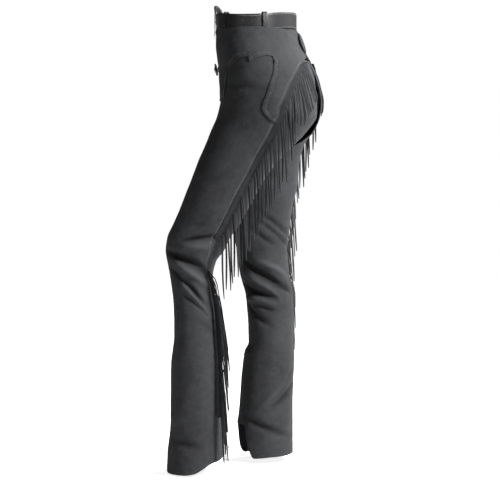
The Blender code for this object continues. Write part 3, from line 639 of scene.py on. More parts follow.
class Value:
    """A socket that can stand in a sum: arithmetic on it adds Math nodes."""

    def __init__(self, tree, socket):
        self.tree = tree
        self.socket = socket

    def combine(self, operation, *parts):
        node = self.tree.nodes.new("ShaderNodeMath")
        node.operation = operation
        for socket, part in zip(node.inputs, parts):
            if isinstance(part, Value):
                self.tree.links.new(part.socket, socket)
            else:
                socket.default_value = part
        return Value(self.tree, node.outputs[0])

    def __add__(self, other):
        return self.combine("ADD", self, other)

    def __sub__(self, other):
        return self.combine("SUBTRACT", self, other)

    def __rsub__(self, other):
        return self.combine("SUBTRACT", other, self)

    def __mul__(self, other):
        return self.combine("MULTIPLY", self, other)

    __radd__ = __add__
    __rmul__ = __mul__


class Finish:
    """Node tree of one material."""

    def __init__(self, name):
        self.material = bpy.data.materials.new(name)
        self.material.use_nodes = True
        self.tree = self.material.node_tree
        self.tree.nodes.clear()

    def add(self, kind, settings, sockets, output=0):
        """One node: its settings come first, then the values or links of its sockets."""
        node = self.tree.nodes.new(kind)
        for setting, value in settings.items():
            if setting == "stops":
                self.set_stops(node.color_ramp, value)
            else:
                setattr(node, setting, value)
        for name, value in sockets.items():
            if isinstance(value, Value):
                self.tree.links.new(value.socket, node.inputs[name])
            else:
                node.inputs[name].default_value = value
        return Value(self.tree, node.outputs[output])

    def set_stops(self, ramp, stops):
        while len(ramp.elements) < len(stops):
            ramp.elements.new(1.0)
        for element, (position, shade) in zip(ramp.elements, stops):
            element.position = position
            element.color = (shade, shade, shade, 1)

    def position(self, stretch=(1, 1, 1)):
        coordinates = self.add("ShaderNodeTexCoord", {}, {}, "Object")
        return self.add("ShaderNodeMapping", {}, {"Vector": coordinates, "Scale": stretch})

    def noise(self, vector, scale, detail=3.0, roughness=0.55):
        sockets = {"Vector": vector, "Scale": scale, "Detail": detail, "Roughness": roughness}
        return self.add("ShaderNodeTexNoise", {}, sockets)

    def ramp(self, value, *stops):
        return self.add("ShaderNodeValToRGB", {"stops": stops}, {"Fac": value})

    def attribute(self, name):
        return self.add("ShaderNodeAttribute", {"attribute_name": name}, {}, "Fac")

    def pores(self, vector, scale):
        return self.add("ShaderNodeTexVoronoi", {"feature": "F1"}, {"Vector": vector, "Scale": scale})

    def shades(self, tone, colour, dark, light):
        """Shades of one colour, from dark where the tone is 0 to light where it is 1."""
        one, two = ((*[min(1.0, part * factor) for part in colour], 1.0) for factor in (dark, light))
        settings = {"data_type": "RGBA", "clamp_factor": True}
        return self.add("ShaderNodeMix", settings, {0: tone, 6: one, 7: two}, 2)

    def bump(self, height, strength, distance):
        sockets = {"Height": height, "Strength": strength, "Distance": distance}
        return self.add("ShaderNodeBump", {}, sockets)

    def surface(self, linked, fixed):
        """Finish the tree with one Principled shader."""
        shader = self.add("ShaderNodeBsdfPrincipled", {}, {**linked, **fixed})
        output = self.tree.nodes.new("ShaderNodeOutputMaterial")
        self.tree.links.new(shader.socket, output.inputs["Surface"])
        return self.material


def nappy_leather(name, colour):
    """Smooth-out black leather with a soft nap: mottled and grained, with painted shade in crease troughs, a
    painted highlight on crease ridges, and cut edges paler from wear and a painted highlight.
    """
    finish = Finish(name)
    place = finish.position()
    clouds = finish.noise(place, 11.0, 4.0, 0.6)
    mottle = finish.noise(place, 95.0, 3.0, 0.65)
    grain = finish.noise(place, 620.0, 2.0, 0.6)
    pores = finish.pores(place, 760.0)
    wrinkles = finish.noise(finish.position((1, 1, 1.7)), 34.0, 4.0, 0.6)
    tone = clouds * 0.75 + mottle * 0.75 + grain * 0.50 + wrinkles * 0.55 - 0.80
    # Painted light: the stored rise darkens crease troughs as painted shade and lightens ridges as a painted
    # highlight; the stored edge pales cut edges, partly wear and partly a painted highlight
    tone = tone + finish.attribute("rise") * 72.0 + finish.attribute("edge") * 0.22
    height = grain * 0.6 + pores * 0.5 + mottle * 0.7 + wrinkles * 5.0
    return finish.surface(
        {"Base Color": finish.shades(tone, colour, 0.40, 1.75),
         "Roughness": finish.ramp(mottle, (0.3, 0.74), (0.7, 0.88)),
         "Normal": finish.bump(height, 0.35, 0.0007)},
        {"Specular IOR Level": 0.13, "Sheen Weight": 0.03, "Sheen Roughness": 0.45,
         "Sheen Tint": (0.75, 0.77, 0.80, 1)})


def smooth_leather(name, colour):
    """Finished belt leather: close pebbled grain with a dull polish."""
    finish = Finish(name)
    place = finish.position()
    clouds = finish.noise(place, 26.0, 4.0, 0.6)
    pebbles = finish.pores(place, 620.0)
    scuffs = finish.noise(finish.position((1, 1, 6)), 140.0, 3.0, 0.7)
    return finish.surface(
        {"Base Color": finish.shades(clouds * 0.7 + scuffs * 0.5 - 0.1, colour, 0.6, 1.9),
         "Roughness": finish.ramp(scuffs, (0.35, 0.34), (0.68, 0.52)),
         "Normal": finish.bump(pebbles * 0.8 + scuffs * 0.3, 0.22, 0.0004)},
        {"Specular IOR Level": 0.30, "Coat Weight": 0.05, "Coat Roughness": 0.35})


def waxed_thread(name, colour):
    """Twisted thread with a slight shine."""
    finish = Finish(name)
    twist = finish.add("ShaderNodeTexWave", {"bands_direction": "DIAGONAL"},
                       {"Vector": finish.position(), "Scale": 900.0, "Distortion": 1.0})
    return finish.surface(
        {"Base Color": finish.shades(twist, colour, 0.6, 1.8), "Normal": finish.bump(twist, 0.4, 0.0002)},
        {"Roughness": 0.5})


def polished_silver(name, colour):
    """Polished silver with fine scratches, dull in its hollows."""
    finish = Finish(name)
    clouds = finish.noise(finish.position(), 60.0, 3.0, 0.6)
    scratches = finish.noise(finish.position((1, 1, 9)), 420.0, 4.0, 0.75)
    tone = clouds * 0.5 + scratches * 0.4 + 0.25 - finish.attribute("hollow") * 0.9
    return finish.surface(
        {"Base Color": finish.shades(tone, colour, 0.42, 1.0),
         "Roughness": finish.ramp(scratches, (0.3, 0.14), (0.75, 0.30)),
         "Normal": finish.bump(scratches, 0.10, 0.0002)},
        {"Metallic": 1.0})


MATERIALS = {}


def material_named(name, maker, *settings):
    """The material of that name, made the first time that it is asked for."""
    if name not in MATERIALS:
        MATERIALS[name] = maker(name, *settings)
    return MATERIALS[name]


# Leg panels

JOINT_LEVEL = -0.340
LOWER_LEVELS = ((-0.340, 0), (-0.460, 24), (-0.700, 92), (-0.900, 46))
HEM_ROWS = 30
JOINT_ROWS = 34
TOP_ROWS = 44
WING_ROWS = 56
FRONT_COLUMNS = 58
INSIDE_COLUMNS = 52
WING_COLUMNS = 24
NEAR_BELT = -0.032
NEAR_HEM = -0.95
EDGE_WEAR_AND_HIGHLIGHT_WIDTH = 0.0035


def column_levels(top, edge, rows, hem):
    """Heights down one column: rows to the edge, the joint rows, and the rows shared by all."""
    levels = [top + (edge - top) * k / rows for k in range(rows)] if rows else []
    levels += [edge + (JOINT_LEVEL - edge) * k / JOINT_ROWS for k in range(JOINT_ROWS)]
    for (high, _), (low, count) in zip(LOWER_LEVELS, LOWER_LEVELS[1:]):
        levels += [high + (low - high) * k / count for k in range(count)]
    last = LOWER_LEVELS[-1][0]
    levels += [last + (hem - last) * k / HEM_ROWS for k in range(HEM_ROWS + 1)]
    return levels


def add_panel_part(name, leg, angles_at, count, top_at, edge_at, rows):
    """Part of a leg panel, given the functions of its columns' angles and cut heights."""
    shares = np.linspace(0, 1, count + 1)
    table = []
    for share in shares:
        hem = float(leg.hem(angles_at(share, np.array(NEAR_HEM))))
        table.append(column_levels(top_at(share), edge_at(share), rows, hem))
    levels = np.array(table)
    item, column, row = add_grid(name, count, levels.shape[1] - 1)
    z = levels[column, row]
    angle = angles_at(shares[column], z)
    points = leg.leather(angle, z)
    swell = unevenness(points)
    move_corners(item, points + leg.outward(angle, z) * swell[:, None])
    # Stored rise: crease and swell heights, which the leather material turns into painted shade in troughs
    # and a painted highlight on ridges
    store(item, "rise", leg.rise(angle, z) + swell)
    if leg.side > 0:
        flip(item)
    return item


def build_panel(leg, settings):
    """One leg panel: it wraps the leg from outseam to outseam, and is open over the seat."""
    def belt_edge(share):
        angle = leg.front_angle(share, np.array(NEAR_BELT))
        return float(belt_middle(angle)) - BELT_HALF_HEIGHT - PANEL_TOP_BELOW_BELT

    def inside_angle(share, z):
        return CENTRE_FRONT + (CENTRE_BACK - CENTRE_FRONT) * share + 0 * z

    def crotch(share):
        return float(smooth_values(CROTCH_EDGE, inside_angle(share, 0)))

    front_edge = CROTCH_EDGE[0].z
    back_edge = CROTCH_EDGE[-1].z
    parts = [
        add_panel_part("front", leg, leg.front_angle, FRONT_COLUMNS,
                       belt_edge, lambda share: front_edge, TOP_ROWS),
        add_panel_part("inside", leg, inside_angle, INSIDE_COLUMNS, crotch, crotch, 0),
        add_panel_part("wing", leg, leg.back_angle, WING_COLUMNS,
                       lambda share: WING_TOP, lambda share: back_edge, WING_ROWS),
    ]
    item = join(parts, f"leather_leg_{leg.name}")
    weld(item)
    mark_edges(item)
    thicken(item, settings.panel)
    smooth(item, 50)
    return item


def mark_edges(item):
    """Keep a number that is 1 on the cut edges and fades within a few millimetres, for paler cut edges:
    partly wear, partly a painted highlight.
    """
    shape = bmesh.new()
    shape.from_mesh(item.data)
    rim = np.array([vert.co[:] for vert in shape.verts if vert.is_boundary])
    shape.free()
    points = corner_points(item)
    nearest = np.ones(len(points))
    for corner in rim[::3]:
        gap = points - corner
        nearest = np.minimum(nearest, np.einsum("ij,ij->i", gap, gap))
    store(item, "edge", np.exp(-np.sqrt(nearest) / EDGE_WEAR_AND_HIGHLIGHT_WIDTH))


class CHAPS_OT_leg_panels(bpy.types.Operator):
    """Model the two leg panels with their creases"""

    bl_idname = "chaps.leg_panels"
    bl_label = "Leg Panels"

    def execute(self, context):
        settings = context.scene.chaps_leather
        leather = material_named("chap leather", nappy_leather, settings.colour)
        for leg in LEGS:
            item = build_panel(leg, settings)
            put_on(item, f"leg_{leg.name}", leather)
        return {"FINISHED"}


# Yokes and stitching

SEAM_PANEL_WIDTH = 0.21
STRAIGHT_FROM_SHARE = 0.15
YOKE_LIFT = 0.0004
YOKE_ROWS = 46
YOKE_COLUMN_WIDTH = 0.0021
YOKE_STITCH_INSETS = (0.0058, 0.0088)
YOKE_STITCH_MIDDLE = 0.0073
GROOVE_WIDTH = 0.0010
SEAM_STITCH_INSETS = (0.0045, 0.0075)
SEAM_STITCH_TOP = -0.100
SEAM_STITCH_BOTTOM = -1.000
SEAM_STITCH_OVER_YOKE = 0.0022
STITCH_FILL = 0.82
STITCH_RADIUS = 0.00042
STITCH_SINK = 0.0001
UNROLL_LEVELS = np.linspace(-0.30, 0.0, 61)
UNROLL_SHARES = np.linspace(0, 1, 200)


def flat_places(leg, shares, heights):
    """Places on the unrolled leather, counted back from the centre front, and its widths there."""
    widths = []
    for z in UNROLL_LEVELS:
        level = np.full(len(UNROLL_SHARES), z)
        ring = leg.ring(leg.front_angle(UNROLL_SHARES, level), level)
        widths.append(way_lengths(ring)[-1])
    width = np.interp(heights, UNROLL_LEVELS, widths)
    return np.stack([(shares - 1) * width, heights], -1), width


def yoke_edge_shares(leg, spacing):
    """Shares along the yoke's lower edge, evenly spaced along the edge itself."""
    shares = np.linspace(0, 1, 3000)
    line, _ = flat_places(leg, shares, smooth_values(YOKE_EDGE, shares))
    lengths = way_lengths(line)
    count = int(lengths[-1] / spacing)
    return np.interp(np.linspace(0, lengths[-1], count + 1), lengths, shares)


def yoke_top(angle):
    return YOKE_TOP_FRONT + YOKE_TOP_SIDE_RISE * np.cos(np.radians(angle)) ** 2


def inside_edge(leg, inset):
    """Way that runs at an even distance inside the yoke's lower edge: shares and heights."""
    shares = yoke_edge_shares(leg, 0.0008)
    line, _ = flat_places(leg, shares, smooth_values(YOKE_EDGE, shares))
    tangent = unit(np.gradient(line, axis=0))
    moved = line + np.stack([-tangent[:, 1], tangent[:, 0]], -1) * inset
    kept = []
    for point in moved:
        gap = np.hypot(*(line - point).T).min()
        if gap > inset * 0.97 and point[0] <= 0:
            kept.append(point)
    kept = np.array(kept)
    _, width = flat_places(leg, np.zeros(len(kept)), kept[:, 1])
    shares = 1 + kept[:, 0] / width
    return shares[shares >= 0], kept[shares >= 0, 1]


def leather_way(leg, shares, heights, lift):
    """Points and normals on the leather along a way, raised by a lift."""
    angles = leg.front_angle(shares, heights)
    normals = leg.outward(angles, heights)
    return leg.leather(angles, heights) + normals * lift, normals


def stitch_places(points, normals, spacing):
    """Places of stitches, evenly spaced along a way that may be broken off and go on elsewhere."""
    steps = np.linalg.norm(np.diff(points, axis=0), axis=1)
    places = []
    broken = np.flatnonzero(steps > 0.010)
    starts = np.concatenate([[0], broken + 1])
    ends = np.concatenate([broken + 1, [len(points)]])
    for start, end in zip(starts, ends):
        if end - start < 4:
            continue
        run = points[start:end]
        lengths = way_lengths(run)
        marks = np.arange(spacing / 2, lengths[-1], spacing)
        middle = along_way(marks, lengths, run)
        ahead = along_way(marks + 0.0004, lengths, run)
        facing = along_way(marks, lengths, normals[start:end])
        for point, nose, out in zip(middle, ahead, facing):
            if np.linalg.norm(nose - point) > 1e-6:
                places.append(place_of(point, nose - point, out))
    return places


def new_stitch(length):
    """One stitch: a short thread whose ends dip into the leather."""
    deselect_all()
    bpy.ops.mesh.primitive_uv_sphere_add(segments=6, ring_count=4, radius=1)
    item = bpy.context.object
    x, y, z = (corner_points(item) * (STITCH_RADIUS, STITCH_RADIUS, length / 2)).T
    move_corners(item, np.stack([z, y, -x], -1))
    return item


def bell(distance, middle, width):
    return np.exp(-((distance - middle) / width) ** 2)


def build_yoke(leg, settings):
    """Hip yoke over the panel: its lower edge has two humps and is pressed in by its seams."""
    shares = yoke_edge_shares(leg, YOKE_COLUMN_WIDTH)
    edges = smooth_values(YOKE_EDGE, shares)
    item, column, row = add_grid(f"leather_yoke_{leg.name}", len(shares) - 1, YOKE_ROWS)
    share = shares[column]
    edge = edges[column]
    top_angle = leg.front_angle(share, np.full(len(share), YOKE_TOP_FRONT))
    top = yoke_top(top_angle)
    eased = 1 - (1 - row / YOKE_ROWS) ** 1.5
    z = top + (edge - top) * eased
    angle_down_seam = leg.front_angle(share, z)
    angle_straight = top_angle + (leg.front_angle(share, edge) - top_angle) * eased
    straightness = np.clip(share / STRAIGHT_FROM_SHARE, 0, 1)
    angle = angle_down_seam + (angle_straight - angle_down_seam) * straightness
    start = leg.front_angle(0, z)
    line, _ = flat_places(leg, shares, edges)
    here, _ = flat_places(leg, (angle - start) / (CENTRE_FRONT - start), z)
    distance = np.ones(len(here))
    for point in line[::2]:
        distance = np.minimum(distance, np.hypot(*(here - point).T))
    grooves = sum(bell(distance, inset, GROOVE_WIDTH) for inset in YOKE_STITCH_INSETS)
    plump = 0.0004 * (1 - np.exp(-distance / 0.0015)) - 0.0004 * bell(distance, YOKE_STITCH_MIDDLE, 0.0035)
    points = leg.leather(angle, z)
    lift = YOKE_LIFT + settings.yoke + plump - 0.0003 * grooves + unevenness(points)
    move_corners(item, points + leg.outward(angle, z) * lift[:, None])
    # Stored rise: creases, with painted shade in the stitch grooves and a painted highlight on the plumped
    # leather; stored edge: paler near the lower edge, partly wear and partly a painted highlight
    store(item, "rise", leg.rise(angle, z) - 0.0022 * grooves + 0.2 * plump)
    store(item, "edge", np.exp(-distance / 0.0016))
    if leg.side > 0:
        flip(item)
    thicken(item, settings.yoke, even=False)
    smooth(item, 50)
    return item


class CHAPS_OT_yokes(bpy.types.Operator):
    """Model the two hip yokes with their scalloped lower edge"""

    bl_idname = "chaps.yokes"
    bl_label = "Hip Yokes"

    def execute(self, context):
        settings = context.scene.chaps_leather
        leather = material_named("chap leather", nappy_leather, settings.colour)
        for leg in LEGS:
            item = build_yoke(leg, settings)
            put_on(item, f"yoke_{leg.name}", leather)
        return {"FINISHED"}


class CHAPS_OT_stitching(bpy.types.Operator):
    """Sew the yokes' edges and the outseams with double rows of stitches"""

    bl_idname = "chaps.stitching"
    bl_label = "Stitching"

    def execute(self, context):
        settings = context.scene.chaps_leather
        thread = material_named("waxed thread", waxed_thread, settings.thread)
        for leg in LEGS:
            places = []
            for inset in YOKE_STITCH_INSETS:
                shares, heights = inside_edge(leg, inset)
                lift = YOKE_LIFT + settings.yoke - STITCH_SINK
                places += stitch_places(*leather_way(leg, shares, heights, lift), settings.stitch)
            for inset in SEAM_STITCH_INSETS:
                heights = np.linspace(SEAM_STITCH_TOP, SEAM_STITCH_BOTTOM, 1500)
                shares = np.full(len(heights), inset / SEAM_PANEL_WIDTH)
                points, normals = leather_way(leg, shares, heights, 0.0004)
                yoke_edge = np.interp(shares, *zip(*YOKE_EDGE))
                points += normals * ((heights > yoke_edge) * SEAM_STITCH_OVER_YOKE)[:, None]
                places += stitch_places(points, normals, settings.stitch)
            item = copies(f"stitching_{leg.name}", new_stitch(settings.stitch * STITCH_FILL), places)
            put_on(item, None, thread)
        return {"FINISHED"}


# Fringe

STRAND_STEPS = 14
STRAND_SECTION = ((1.0, 0.35), (0.75, 1.0), (-0.75, 1.0), (-1.0, 0.35), (-1.0, -0.35), (-0.75, -1.0),
                  (0.75, -1.0), (1.0, -0.35))
STRIP_START = 0.0002
STRIP_OVERLAP = 0.0030
ROOT_FILL = 0.96
ROOT_STEPS = 3
TIP_FROM = 0.82
TIP_NARROWING = 0.45


def hang_at(fringe, z):
    """How the fringe hangs where it is rooted at height z."""
    changes = ((0.0, 0.0), (fringe.turn_from, 0.0), (fringe.turn_to, 1.0), (-1.0, 1.0))
    share = float(smooth_values(changes, np.array(z, float)))
    return Hang(*[hip + (own - hip) * share for hip, own in zip(HIP_HANG, fringe.hang)])


def seam_frame(leg, fringe, z):
    """On the outseam at height z: its place, the way the strip stands out, and the way off the leg."""
    level = np.array(z, float)
    angle = leg.seam(level)
    normal = leg.outward(angle, level)
    level_normal = unit(normal * (1, 1, 0))
    rearward = np.cross([0, 0, 1], level_normal) * leg.side
    stand = math.radians(hang_at(fringe, z).stand)
    out = rearward * math.cos(stand) + level_normal * math.sin(stand)
    away = level_normal * math.cos(stand) - rearward * math.sin(stand)
    return leg.leather(angle, level) + normal * FRINGE_GAP, out, away


def strip_heights(leg, fringe):
    """Heights that share the seam's length evenly among the strands."""
    samples = np.linspace(fringe.top, fringe.bottom, 120)
    lengths = way_lengths(leg.ring(leg.seam(samples), samples))
    return np.interp(np.linspace(0, lengths[-1], fringe.strands + 1), lengths, samples)


def strand_centres(leg, fringe, number, high, low):
    """Points down the middle of one strand: out of the strip, over and down to its tip."""
    middle = (high + low) / 2
    root, out, away = seam_frame(leg, fringe, middle)
    hang = hang_at(fringe, middle)
    length = float(smooth_values(FRINGE_LENGTHS, np.array(low))) * (1 + 0.05 * math.sin(number * 2.4))
    tip = max(low - length, FLOOR_CLEAR_HEIGHT)
    loose = float(np.clip((SNUG_LEVELS[1] - middle) / (SNUG_LEVELS[1] - SNUG_LEVELS[0]), 0, 1))
    lane = (number % fringe.lanes - fringe.inner_lanes) * fringe.lane_step * (0.3 + 0.7 * loose)
    first = low - STRAND_FIRST_DROP
    centres = [root + out * (STRIP_REACH - STRIP_OVERLAP), root + out * STRIP_REACH]
    for step in range(1, STRAND_STEPS + 1):
        t = step / STRAND_STEPS
        z = middle + (tip - middle) * t ** 1.25
        turned = min(1.0, (middle - z) / (middle - first))
        fallen = max(first - z, 0.0)
        place = seam_frame(leg, fringe, max(z, fringe.bottom))[0] if fringe.follows_seam else root
        drift = 0.0020 * math.sin(t * 4.2 + number * 2.1) * t
        step_out = STRAND_STEP_OUT * math.sin(turned * math.pi / 2)
        hop = hang.hop * min(fallen / STRAND_HOP_DROP, 1)
        point = place + out * (STRIP_REACH + step_out + hang.lean * fallen + hop + drift)
        point[2] = z
        point = leg.outside(point, (SNUG_CLEARANCE + (LEG_CLEARANCE - SNUG_CLEARANCE) * loose) * turned)
        sway = 0.0009 * math.sin(number * 1.9) * math.sin(t * math.pi * 1.6)
        centres.append(point + away * (lane * turned + sway))
    return np.array(centres), out, away


def tube_faces(start, rings, sides):
    """Faces of a closed tube whose rings of corners follow on each other, from a start."""
    faces = []
    for k in range(rings - 1):
        one = start + k * sides
        two = one + sides
        faces += [(one + j, one + (j + 1) % sides, two + (j + 1) % sides, two + j) for j in range(sides)]
    last = start + (rings - 1) * sides
    faces.append(tuple(start + j for j in reversed(range(sides))))
    faces.append(tuple(last + j for j in range(sides)))
    return faces


def build_fringe(leg, name, fringe, settings):
    """Strip set in the outseam whose outer part is cut into hanging strands."""
    heights = strip_heights(leg, fringe)
    half = settings.thickness / 2
    corners = []
    for z in heights:
        place, out, thick = seam_frame(leg, fringe, z)
        for reach, side in ((STRIP_START, -1), (STRIP_START, 1), (STRIP_REACH, 1), (STRIP_REACH, -1)):
            corners.append(place + out * reach + thick * half * side)
    pale = [0.0] * len(corners)
    faces = tube_faces(0, len(heights), 4)
    root_flare = ROOT_FILL * abs(heights[1] - heights[0]) / settings.width
    for number, (high, low) in enumerate(zip(heights, heights[1:])):
        centres, out, thick = strand_centres(leg, fringe, number, high, low)
        faces += tube_faces(len(corners), len(centres), len(STRAND_SECTION))
        twist_end = 0.9 * math.sin(number * 1.3 + 0.7)
        for k, (centre, along) in enumerate(zip(centres, unit(np.gradient(centres, axis=0)))):
            t = k / (len(centres) - 1)
            wide = unit(np.cross(thick, along))
            twist = twist_end * max(0.0, t - 0.25)
            wide_now = wide * math.cos(twist) + thick * math.sin(twist)
            flat_now = unit(np.cross(along, wide_now))
            flare = 1 + (root_flare - 1) * max(0.0, 1 - k / ROOT_STEPS)
            taper = 1 - TIP_NARROWING * max(0.0, (t - TIP_FROM) / (1 - TIP_FROM)) ** 1.5
            for across, through in STRAND_SECTION:
                aside = wide_now * across * settings.width / 2 * flare * taper
                corners.append(centre + aside + flat_now * through * half)
                # Strand sides and tips paler: partly wear of the cut edges, partly a painted highlight
                pale.append(abs(across) * 0.7 + 0.3 * (t > 0.97))
    item = new_piece(f"{name}_strands_{leg.name}", corners, faces)
    store(item, "rise", [0.0] * len(corners))
    store(item, "edge", pale)
    edit_all(item, bpy.ops.mesh.normals_make_consistent, inside=False)
    smooth(item, 40)
    return item


class CHAPS_OT_fringe(bpy.types.Operator):
    """Cut the four fringes and hang their strands"""

    bl_idname = "chaps.fringe"
    bl_label = "Fringe"

    def execute(self, context):
        settings = context.scene.chaps_fringe
        leather = material_named("fringe leather", nappy_leather, settings.colour)
        for leg in LEGS:
            for name, fringe in leg.fringes.items():
                item = build_fringe(leg, name, fringe, settings)
                put_on(item, f"{name}_{leg.name}", leather)
        return {"FINISHED"}


# Belt

BAND_ROWS = 8
BILLET_START = -90
BILLET_END = -4
BILLET_POINT_DEGREES = 12
BILLET_LEATHER = 0.0022
LOOP_LEATHER = 0.0022
LOOP_GAP = 0.0012
LOOP_CORNER = 0.0015
LOOP_COLUMNS = 4
BELT_STITCH_LEVELS = (-0.0150, 0.0150)
BELT_STITCH_SPACING = 0.0040
BELT_STITCH_LENGTH = 0.0032


def add_band(name, angles, low, high, outward):
    """Strip of leather that follows the belt's ring between two angles; its heights may vary."""
    item, column, row = add_grid(name, len(angles) - 1, BAND_ROWS)
    level = high[column] + (low[column] - high[column]) * row / BAND_ROWS
    move_corners(item, belt_point(angles[column], level, outward[column]))
    weld(item)
    return item


def build_belt(settings):
    """Closed strap round the waist with rounded edges."""
    angles = np.linspace(0, 360, 241)
    edge = np.full(len(angles), settings.height / 2)
    item = add_band("belt_strap", angles, -edge, edge, np.zeros(len(angles)))
    thicken(item, settings.thickness)
    round_edges(item, 0.0009)
    smooth(item, 40)
    return item


def build_billet(settings):
    """Free end of the belt: it comes from the buckle and lies pointed on the left hip."""
    angles = np.linspace(BILLET_START, BILLET_END, 120)
    point = np.clip((BILLET_END - angles) / BILLET_POINT_DEGREES, 0, 1) ** 0.6
    half = (settings.height / 2 - 0.0008) * point
    outward = np.full(len(angles), 0.0024)
    outward[-1] = 0.0020
    item = add_band("belt_billet", angles, -half, half, outward)
    thicken(item, BILLET_LEATHER)
    round_edges(item, 0.0006)
    smooth(item, 40)
    return item


def build_loop(name, angle, settings):
    """Leather loop over the belt: it rises from the yoke's top edge and folds down inside."""
    angle = np.array(float(angle))
    middle = belt_point(angle, 0.0)
    ahead = unit((belt_point(angle + 1, 0.0) - belt_point(angle - 1, 0.0)) * (1, 1, 0))
    out = np.cross(ahead, [0, 0, 1])
    crown = settings.height / 2 + LOOP_GAP
    below_crown = crown - LOOP_CORNER
    foot = float(yoke_top(angle)) + LOOP_GAP - middle[2]
    inside = -settings.thickness - LOOP_GAP
    profile = np.array((
        (LOOP_GAP, foot), (LOOP_GAP + 0.0008, 0.0), (LOOP_GAP, below_crown), (LOOP_GAP - LOOP_CORNER, crown),
        (inside + LOOP_CORNER, crown), (inside, below_crown), (inside, -settings.height / 2)))
    item, column, row = add_grid(name, LOOP_COLUMNS, len(profile) - 1)
    depth, level = profile[row].T
    shift = (column / LOOP_COLUMNS - 0.5) * settings.loop
    points = middle + shift[:, None] * ahead + depth[:, None] * out
    points[:, 2] += level
    move_corners(item, points)
    flip(item)
    thicken(item, LOOP_LEATHER, offset=1)
    round_edges(item, 0.0005)
    smooth(item, 40)
    return item


class CHAPS_OT_belt(bpy.types.Operator):
    """Model the belt, its free end, its stitching and its two loops"""

    bl_idname = "chaps.belt"
    bl_label = "Belt"

    def execute(self, context):
        settings = context.scene.chaps_belt
        leather = material_named("belt leather", smooth_leather, settings.colour)
        thread = material_named("belt thread", waxed_thread, settings.thread)
        put_on(build_belt(settings), "belt", leather)
        put_on(build_billet(settings), None, leather)
        places = []
        angles = np.linspace(0, 360, 1500)
        facing = unit(np.gradient(belt_point(angles, 0.0), axis=0))
        normals = np.cross(facing, [0, 0, 1])
        for level in BELT_STITCH_LEVELS:
            places += stitch_places(belt_point(angles, level, 0.0001), normals, BELT_STITCH_SPACING)
        item = copies("belt_stitching", new_stitch(BELT_STITCH_LENGTH), places)
        put_on(item, None, thread)
        for name, angle in KEEPERS.items():
            item = build_loop(f"{name}_loop", angle, settings)
            put_on(item, name, leather)
        return {"FINISHED"}


# Hardware

def oval(width, height, turn):
    x = width / 2 * signed_power(np.cos(turn), 0.8)
    z = height / 2 * signed_power(np.sin(turn), 0.8)
    return x, z


def ringed_disc(name, rings, segments):
    """Disc cut inward ring by ring, each with its radius and height, up to a point in its middle."""
    deselect_all()
    bpy.ops.mesh.primitive_circle_add(vertices=segments, radius=rings[0][0], fill_type="NGON")
    item = bpy.context.object
    rename(item, name)
    bpy.ops.object.mode_set(mode="EDIT")
    bpy.ops.mesh.select_all(action="SELECT")
    for (outer, low), (inner, high) in zip(rings, rings[1:]):
        bpy.ops.mesh.inset(thickness=outer - inner, depth=high - low)
    bpy.ops.mesh.poke()
    bpy.ops.object.mode_set(mode="OBJECT")
    points = corner_points(item) + (0, 0, rings[0][1])
    move_corners(item, points)
    return item, np.hypot(points[:, 0], points[:, 1]), np.arctan2(points[:, 1], points[:, 0])


PLATE_RINGS = ((1.0, 0.0), (0.87, 0.0), (0.825, 0.0002), (0.80, 0.0010), (0.765, 0.0009), (0.74, 0.0002),
               (0.68, 0.0006), (0.55, 0.0011), (0.40, 0.0014), (0.20, 0.0016))
PLATE_GROOVES = (0.74, 0.825)
PLATE_THICKNESS = 0.0028
ROPE_INSET = 0.003
ROPE_TURNS = 92


def build_plate(settings):
    """Oval plate, bent round the waist, with a raised border."""
    item, scale, turn = ringed_disc("buckle_plate", PLATE_RINGS, 96)
    rise = corner_points(item)[:, 2]
    x, z = oval(settings.buckle_width, settings.buckle_height, turn)
    x = x * scale
    depth = BUCKLE_RADIUS * (1 - np.cos(x / BUCKLE_RADIUS))
    move_corners(item, np.stack([x, BUCKLE_FRONT + depth - rise, z * scale], -1))
    store(item, "hollow", sum(bell(scale, groove, 0.015) for groove in PLATE_GROOVES))
    thicken(item, PLATE_THICKNESS)
    round_edges(item, 0.0005)
    smooth(item, 35)
    return item


def build_rope(settings):
    """Rope rim of the plate: one strand of the twist, copied round the oval."""
    deselect_all()
    bpy.ops.mesh.primitive_uv_sphere_add(segments=8, ring_count=6, radius=1)
    strand = bpy.context.object
    move_corners(strand, corner_points(strand) * (0.0016, 0.0016, 0.0031))
    turns = np.linspace(0, 2 * math.pi, 400)
    x, z = oval(settings.buckle_width - 2 * ROPE_INSET, settings.buckle_height - 2 * ROPE_INSET, turns)
    y = BUCKLE_FRONT + BUCKLE_RADIUS * (1 - np.cos(x / BUCKLE_RADIUS)) - 0.0004
    line = np.stack([x, y, z], -1)
    lengths = way_lengths(line)
    points = along_way(np.linspace(0, lengths[-1], ROPE_TURNS, endpoint=False), lengths, line)
    ahead = np.roll(points, -1, axis=0) - np.roll(points, 1, axis=0)
    places = []
    for point, along in zip(points, ahead):
        across = np.cross(along, [0, -1, 0])
        slanted = unit(along) + unit(across) * 0.9
        places.append(place_of(point, np.cross([0, -1, 0], slanted), slanted))
    item = copies("buckle_rope_rim", strand, places)
    store(item, "hollow", [0.0] * len(item.data.vertices))
    return item


CONCHO_RINGS = ((0.0145, 0.0014), (0.0136, 0.0019), (0.0124, 0.0016), (0.0116, 0.0020), (0.0106, 0.0026),
                (0.0096, 0.0024), (0.0088, 0.0018), (0.0080, 0.0024), (0.0066, 0.0038), (0.0046, 0.0050),
                (0.0022, 0.0060))
CONCHO_BEADS = 32


